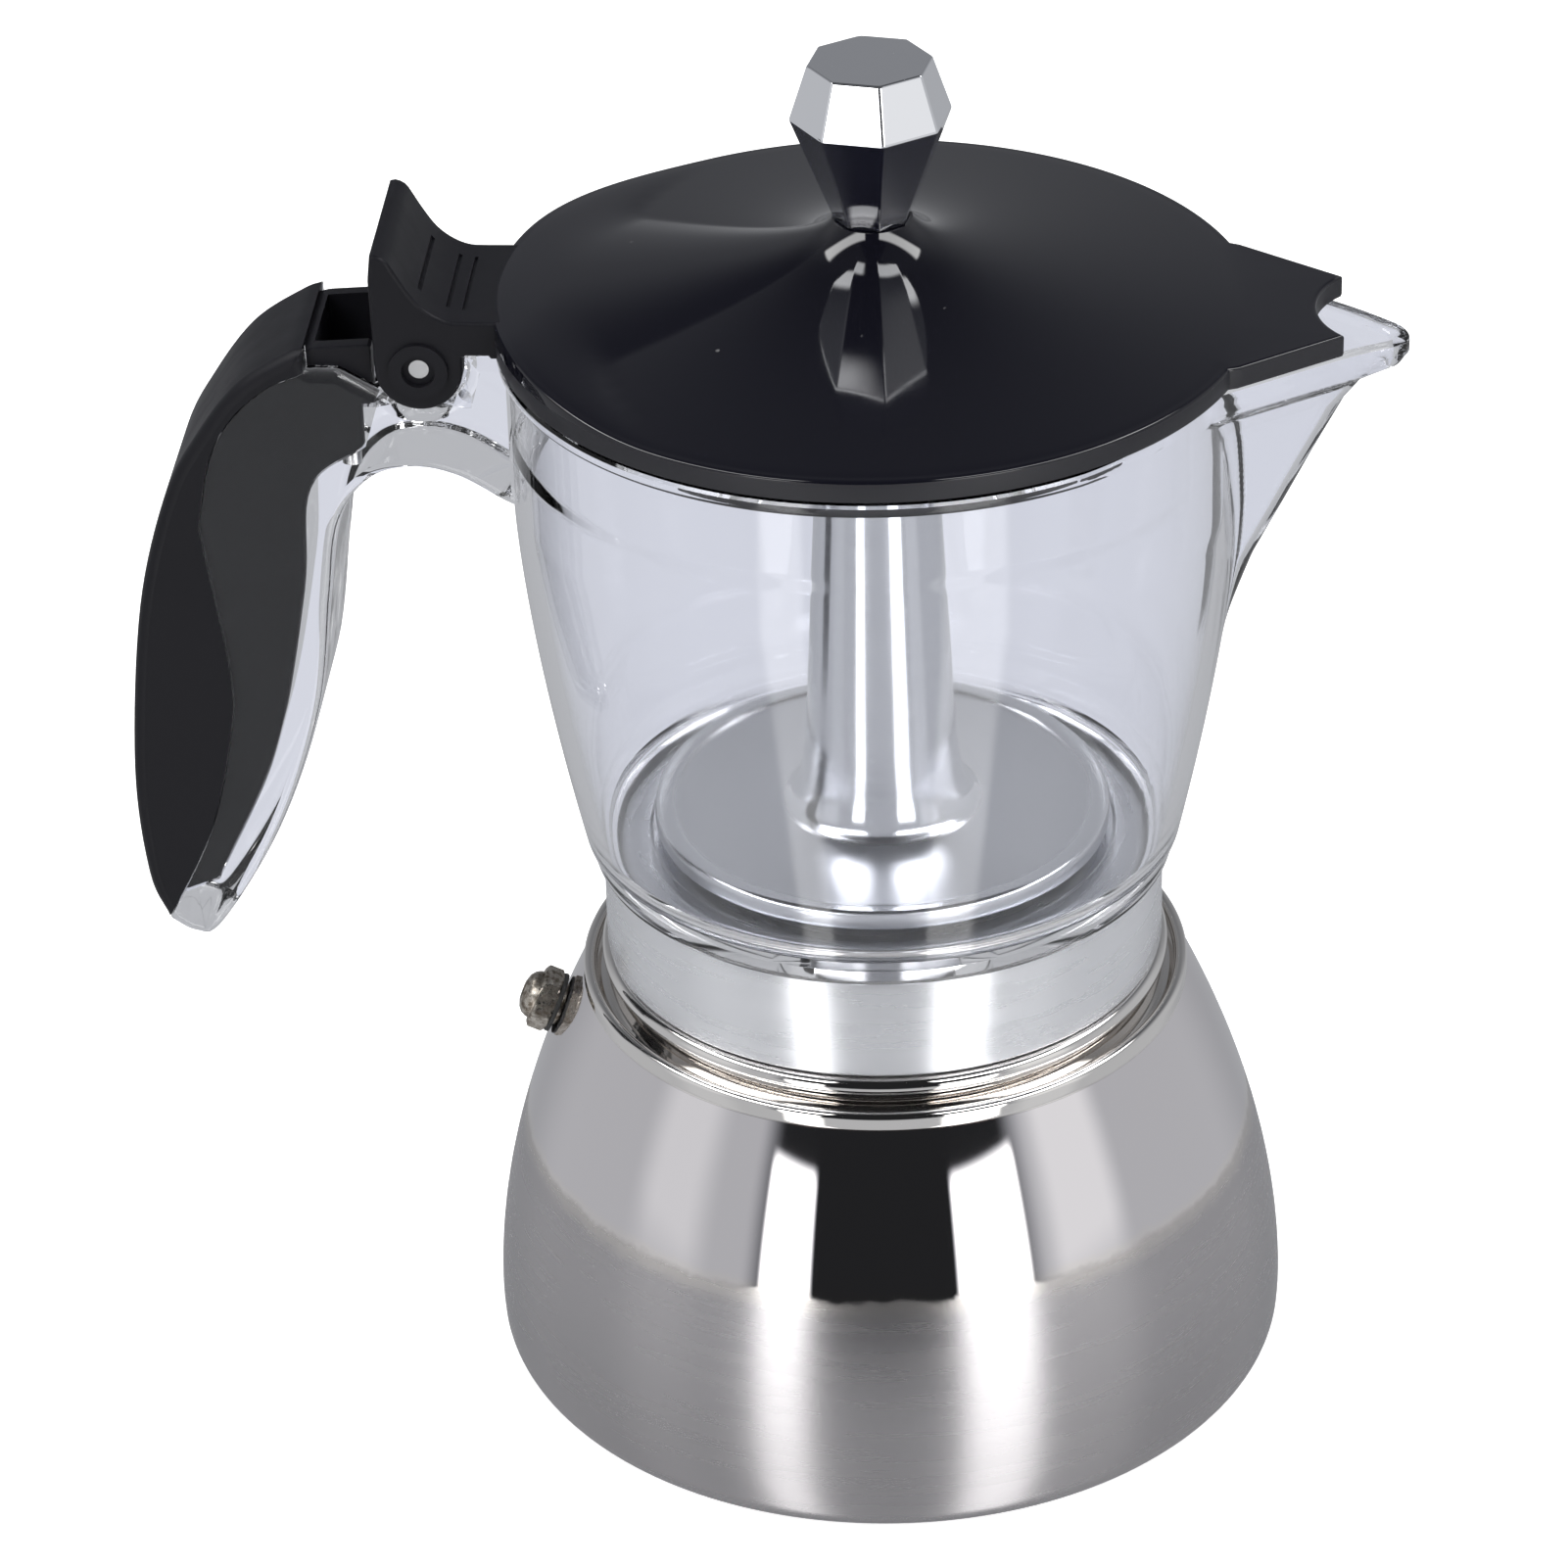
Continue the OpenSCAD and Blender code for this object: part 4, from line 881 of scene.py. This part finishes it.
class MOKA_OT_lid(bpy.types.Operator):
    """Glossy coned lid with its beak cover, and the lever with its knuckle"""
    bl_idname = "moka.lid"
    bl_label = "Lid"

    def execute(self, context):
        look, edge = context.scene.moka_finishes, LID_LOW + 3.0
        gloss = black_plastic("glossy dark plastic", tuple(look.gloss_dark), 0.05, 0.0, 0.5, 0.01,
                              edge - 0.35)
        dressed(self.cover(LID_LOW, edge, KNOB_LOW), "lid", "gloss_dark_plastic", gloss, "lid")
        dark = black_plastic("lever plastic", tuple(look.dark), 0.40, 0.35)
        dressed(flat_faced(self.lever(LID_LOW, edge)), "lid", "dark_plastic", dark, "lid")
        return {"FINISHED"}

    @staticmethod
    def cover(low, edge, top):
        """The lid as rings of points, from the knob's foot over the top and back underneath."""
        _, corner, root = lid_rim(np.zeros(1))
        side = np.concatenate([np.linspace(0, corner, 22), np.linspace(corner, root, 26)[1:],
                               np.linspace(root, math.pi, 140)[1:]])
        theta = np.concatenate([side, -side[-2:0:-1]])[:, None]
        rim = lid_rim(theta)[0]
        r = 5.0 + 41.4 * np.linspace(0, 1, 48) ** 1.5
        seat = [(0, top - 3.4), (0, top), (4.0, top), (4.7, top - 0.03)]
        rounding = [(np.maximum(rim - d, 46.6), edge - e) for d, e in
                    ((0.7, 0.0), (0.36, 0.0), (0.19, 0.06), (0.06, 0.18), (0.0, 0.36))]
        skirt = [(rim, low + 0.5), (rim - 0.12, low + 0.15), (rim - 0.4, low),
                 (np.minimum(rim - 1, 46.0), low), (43.2, low), (43.2, low - 2.6), (42.8, low - 3.0),
                 (41.7, low - 3.0), (41.4, low - 2.7)]
        columns = [*seat, *zip(r, lid_height(r, edge, top)), *rounding, *skirt]
        columns += [(rr, lid_height(rr, edge, top) - LID_WALL) for rr in r[::-1][5:-3]] + [(4.6, top - 3.4)]
        rows = np.stack([polar(rr, theta, zz)[:, 0] for rr, zz in columns], 1)
        roof = rows[:, len(seat):len(seat) + len(r) + len(rounding)]
        roof[..., 2] += lever_ramp(np.hypot(roof[..., 0], roof[..., 1]), theta)
        return grid("lid_cover", rows, sharp=30)

    @staticmethod
    def lever(low, edge):
        """The lever: a grooved thumb rest over the knuckle that holds the pin, hollow between two cheeks."""
        roof, skirt, sharp = edge + 2 - PIN[2], low - PIN[2], 35
        thumb = flow([[6.5, roof], [4.4, roof + 0.1], [2.4, roof + 0.9], [0.4, roof + 2.5],
                      [-1.2, roof + 4.8], [-2.5, roof + 7.1], [-3.3, roof + 8.4], [-4.4, roof + 9.1]], 4)
        outline = from_pin([[16, roof - 1.5], [15, roof - 0.4], [12, roof + 0.01], [10, roof + 0.02]], thumb,
                           [[-5.3, roof + 9], [-5.7, roof + 5.6]], arc((0, 0), 5.5, 180, 360, 30),
                           [[5.5, skirt + 0.4], [9, skirt + 0.4], [9, skirt], [12, skirt], [16, roof - 2.2]])
        lever = plate("lid_lever", outline, -11.2, 11.2, 0.45, 4)
        hollow = from_pin([[8, skirt - 9], [8, roof - 2.3], [4.6, roof - 2.3], [1.8, roof - 0.4],
                           [-2, roof + 3.6], [-4, roof + 6.2], [-8, roof + 6.8], [-8, skirt - 9]])
        cut(lever, hollow, -8.5, 8.5, sharp)
        for x in (0.2, 3.6, 5.6):
            h = np.interp(x, thumb[::-1, 0], thumb[::-1, 1]) if x < 4 else roof
            groove = [[x - 0.22, h - 0.35], [x + 0.22, h - 0.35], [x + 0.22, h + 1.5], [x - 0.22, h + 1.5]]
            cut(lever, from_pin(groove), -7.4, 7.4, sharp)
        for side in (-1, 1):
            boss = from_pin(arc((0, 0), 3.7, 0, 355, 48))
            combine(lever, prism(boss, side * 11.0, side * 11.75), "UNION", sharp)
            cut(lever, from_pin(arc((0, 0), 2.1, 0, 350, 36)), side * 10.9, side * 13, sharp)
            cut(lever, from_pin(arc((0, 0), 1.3, 0, 345, 24)), side * 8, side * 13, sharp)
        return lever


class MOKA_OT_knob(bpy.types.Operator):
    """Eight-sided chrome knob and its screw"""
    bl_idname = "moka.knob"
    bl_label = "Knob"

    def execute(self, context):
        height = KNOB_TOP - KNOB_LOW
        r, z = np.array([[4.8, 10.15, 7.8], [0.0, height * 0.665, height]])[:, :, None]
        rows = polar(r, np.radians(12 + 45 * np.arange(8)), KNOB_LOW + z)
        knob = grid("knob_facets", rows, loop_rows=False, caps=True, sharp=10)
        bevel = knob.modifiers.new("edges", "BEVEL")
        bevel.width, bevel.segments, bevel.limit_method = 0.22 * MM, 3, "NONE"
        knob.data.shade_flat()
        dressed(knob, "lid", "chrome", mirror_metal("chrome", (0.86, 0.87, 0.90), 0.04, 0.06), "knob")
        painted("knob_screw", mirror_metal("screw steel", (0.72, 0.72, 0.72), 0.22))
        return {"FINISHED"}


# ---- stage

# Colour of the studio as it shows through clear plastic, and the level of the even light on matte surfaces.
THROUGH_CLEAR = (0.69, 0.705, 0.77)
EVEN = 0.62
WHITE = (1.0, 1.0, 1.0)
# Windows of the studio: left, right, low and high edge and feather in degrees, and power. Two tall softboxes
# in front, two faint ones beside them, and a bright strip high up on each side.
SOFTBOXES = ((-39, -25, -60, 12, 1.5, 4.6), (19, 40, -60, 12, 1.5, 4.6),
             (-82, -60, -50, 30, 6, 0.22), (48, 72, -50, 30, 5, 0.34),
             (-125, -26, 42, 54, 2, 8.7), (20, 122, 42, 54, 2, 8.7))


def softbox_group():
    """A bright window in the studio: soft-edged in azimuth and in elevation, both in degrees."""
    sockets = [("Azimuth", 0), ("Elevation", 0), ("Left", -10), ("Right", 10), ("Low", 0), ("High", 40),
               ("Feather", 2)]
    tree, t, given, put = group_tree("Softbox", sockets, ["Mask"])
    az, el, left, right, low, high, soft = list(given)[:len(sockets)]

    def window(value, a, b):
        up = t.ramp(value, t.sub(a, soft), t.add(a, soft))
        down = t.ramp(value, t.sub(b, soft), t.add(b, soft), 1.0, 0.0)
        return t.mul(up, down)

    t.feed(put[0], t.mul(window(az, left, right), window(el, low, high)))
    return tree


class MOKA_OT_stage(bpy.types.Operator):
    """Pale floor, studio surroundings, lamps and camera"""
    bl_idname = "moka.stage"
    bl_label = "Stage"

    def execute(self, context):
        scene = context.scene
        scene.view_settings.view_transform = "Standard"
        scene.cycles.max_bounces, scene.cycles.transmission_bounces, scene.cycles.glossy_bounces = 24, 24, 12
        self.camera(scene)
        self.surroundings(scene)
        self.floor()
        self.lamp("lamp left", (-0.75, -0.95, 0.95), 0.7)
        self.lamp("lamp right", (0.85, -0.85, 0.95), 0.7)
        self.lamp("lamp top", (0.0, 0.25, 1.4), 1.0)
        return {"FINISHED"}

    @staticmethod
    def camera(scene):
        """A camera at one point that looks at another, rolled by a small angle."""
        data = bpy.data.cameras.new("camera")
        data.sensor_width, data.lens = 36.0, scene.moka_sizes.lens
        data.clip_start, data.clip_end = 0.05, 20
        cam = bpy.data.objects.new("camera", data)
        scene.collection.objects.link(cam)
        at, aim = Vector((0.04143, -0.67433, 0.48981)), Vector((-0.01275, -0.00103, 0.08248))
        turn = (aim - at).to_track_quat("-Z", "Y").to_matrix().to_4x4()
        cam.matrix_world = Matrix.Translation(at) @ turn @ Matrix.Rotation(math.radians(-1.55), 4, "Z")
        scene.camera = cam

    @staticmethod
    def between(t, share, a, b):
        """(1 - share) * a + share * b for plain values."""
        return t.math("MULTIPLY_ADD", share, t.sub(b, a), a)

    def studio(self, t):
        """Brightness of the studio where a ray ends, from its azimuth and elevation in degrees: dark in front
        above a pale floor, grey at the sides, dimmer behind and overhead, and the windows."""
        x, y, z = t.split(t.node("TexCoord").outputs["Generated"])
        to_degrees, middle = 57.2958, 4.6
        az = t.sub(t.mul(t.math("ARCTAN2", x, t.mul(y, -1.0)), to_degrees), middle)
        el = t.mul(t.math("ARCSINE", z), to_degrees)
        far = t.math("ABSOLUTE", az)
        front = t.ramp(el, -16.0, -4.0, 0.55, 0.02)
        sides = t.ramp(el, 14.0, 60.0, 0.54, 0.12)
        back = t.add(t.ramp(el, -10.0, 8.0, 0.42, 0.27), t.ramp(el, 20.0, 55.0, 0.0, -0.20))
        around = self.between(t, t.ramp(far, 118.0, 150.0), sides, back)
        level = self.between(t, t.ramp(far, 36.0, 46.0), front, around)
        box = softbox_group()
        dimmed_below = t.ramp(el, -9.0, -2.0, 0.42, 1.0)
        for *edges, power in SOFTBOXES:
            given = dict(zip(("Left", "Right", "Low", "High", "Feather"), edges))
            mask = t.group(box, Azimuth=az, Elevation=el, **given)[0]
            level = t.add(level, t.mul(t.mul(mask, power), dimmed_below))
        return level

    def surroundings(self, scene):
        """What a ray that leaves the scene meets: white for the camera, a pale tint through clear plastic,
        the studio for what is mirrored, and an even light for matte surfaces."""
        scene.world = bpy.data.worlds.new("studio")
        scene.world.cycles.sampling_method = "NONE"
        t = emptied(scene.world)
        rays = t.node("LightPath").outputs
        # What lies behind clear plastic never mirrors a pitch-black room.
        behind_clear = t.mul(t.math("GREATER_THAN", rays["Transmission Depth"], 0.5), 0.5)
        level = t.math("MAXIMUM", self.studio(t), behind_clear)
        tint = t.blend(t.mul(level, 1.0, clamp=True), (0.90, 0.93, 1.0), WHITE)
        mirrored, even = t.shader("Background", tint, level), t.shader("Background", WHITE, EVEN)
        direct = t.shader("Background", t.blend(rays["Is Camera Ray"], THROUGH_CLEAR, WHITE), 1.0)
        reflected = t.math("GREATER_THAN", rays["Glossy Depth"], 0.5)
        seen = t.math("MAXIMUM", rays["Is Camera Ray"], rays["Is Transmission Ray"])
        indirect = t.shader("MixShader", reflected, even, mirrored)
        t.node("OutputWorld", t.shader("MixShader", t.mul(seen, t.sub(1.0, reflected)), indirect, direct))

    @staticmethod
    def floor():
        """Pale paper: it glows for the camera, so that only a faint shadow shows, and it is left out of what
        clear plastic and mirrors show."""
        half, below = 2500, -0.02
        u = np.linspace(-half, half, 33)
        x, y = np.meshgrid(u, u, indexing="ij")
        floor = grid("floor", np.stack([x, y, np.full_like(x, below)], -1), loop_rows=False, loop_cols=False)
        for poly in floor.data.polygons:
            if poly.normal.z < 0:
                poly.flip()
        mat = bpy.data.materials.new("pale floor")
        t = emptied(mat)
        rays = t.node("LightPath").outputs
        mottle = t.blend(t.noise(t.place(), 8.0), (0.80, 0.80, 0.80), (0.84, 0.84, 0.84))
        paper = t.shader("BsdfDiffuse", mottle)
        lit = t.shader("AddShader", paper, t.shader("Emission", WHITE, EVEN))
        seen = t.shader("MixShader", rays["Is Camera Ray"], paper, lit)
        left_out = t.math("MAXIMUM", rays["Is Transmission Ray"],
                          t.math("GREATER_THAN", rays["Glossy Depth"], 0.5))
        t.node("OutputMaterial", t.shader("MixShader", left_out, seen, t.shader("BsdfTransparent")))
        floor.data.materials.append(mat)

    @staticmethod
    def lamp(name, at, size):
        """A square lamp that faces the middle of the pot and can't be seen or mirrored itself."""
        data = bpy.data.lights.new(name, "AREA")
        data.size, data.energy = size, 9
        obj = bpy.data.objects.new(name, data)
        bpy.context.scene.collection.objects.link(obj)
        obj.location = at
        obj.rotation_euler = (Vector((0, 0, 0.09)) - Vector(at)).to_track_quat("-Z", "Y").to_euler()
        obj.visible_glossy = obj.visible_camera = obj.visible_transmission = False


# ---- add-on

STEPS = (MOKA_OT_boiler, MOKA_OT_valve, MOKA_OT_brewing, MOKA_OT_column, MOKA_OT_jug, MOKA_OT_handle,
         MOKA_OT_lid, MOKA_OT_knob, MOKA_OT_stage)


class MOKA_PT_panel(bpy.types.Panel):
    """Lists the pot's steps and their sizes and colours"""
    bl_idname = "MOKA_PT_panel"
    bl_label = "Moka pot"
    bl_space_type = "VIEW_3D"
    bl_region_type = "UI"
    bl_category = "Moka pot"

    def draw(self, context):
        for values in (context.scene.moka_sizes, context.scene.moka_finishes):
            for key in values.__annotations__:
                self.layout.prop(values, key)
        for step in STEPS:
            self.layout.operator(step.bl_idname)


CLASSES = (MokaSizes, MokaFinishes, *STEPS, MOKA_PT_panel)


def register():
    for cls in CLASSES:
        bpy.utils.register_class(cls)
    bpy.types.Scene.moka_sizes = PointerProperty(type=MokaSizes)
    bpy.types.Scene.moka_finishes = PointerProperty(type=MokaFinishes)


def unregister():
    del bpy.types.Scene.moka_sizes, bpy.types.Scene.moka_finishes
    for cls in reversed(CLASSES):
        bpy.utils.unregister_class(cls)


def main():
    register()
    for step in STEPS:
        getattr(bpy.ops.moka, step.bl_idname.split(".")[1])()


if __name__ == "__main__":
    main()
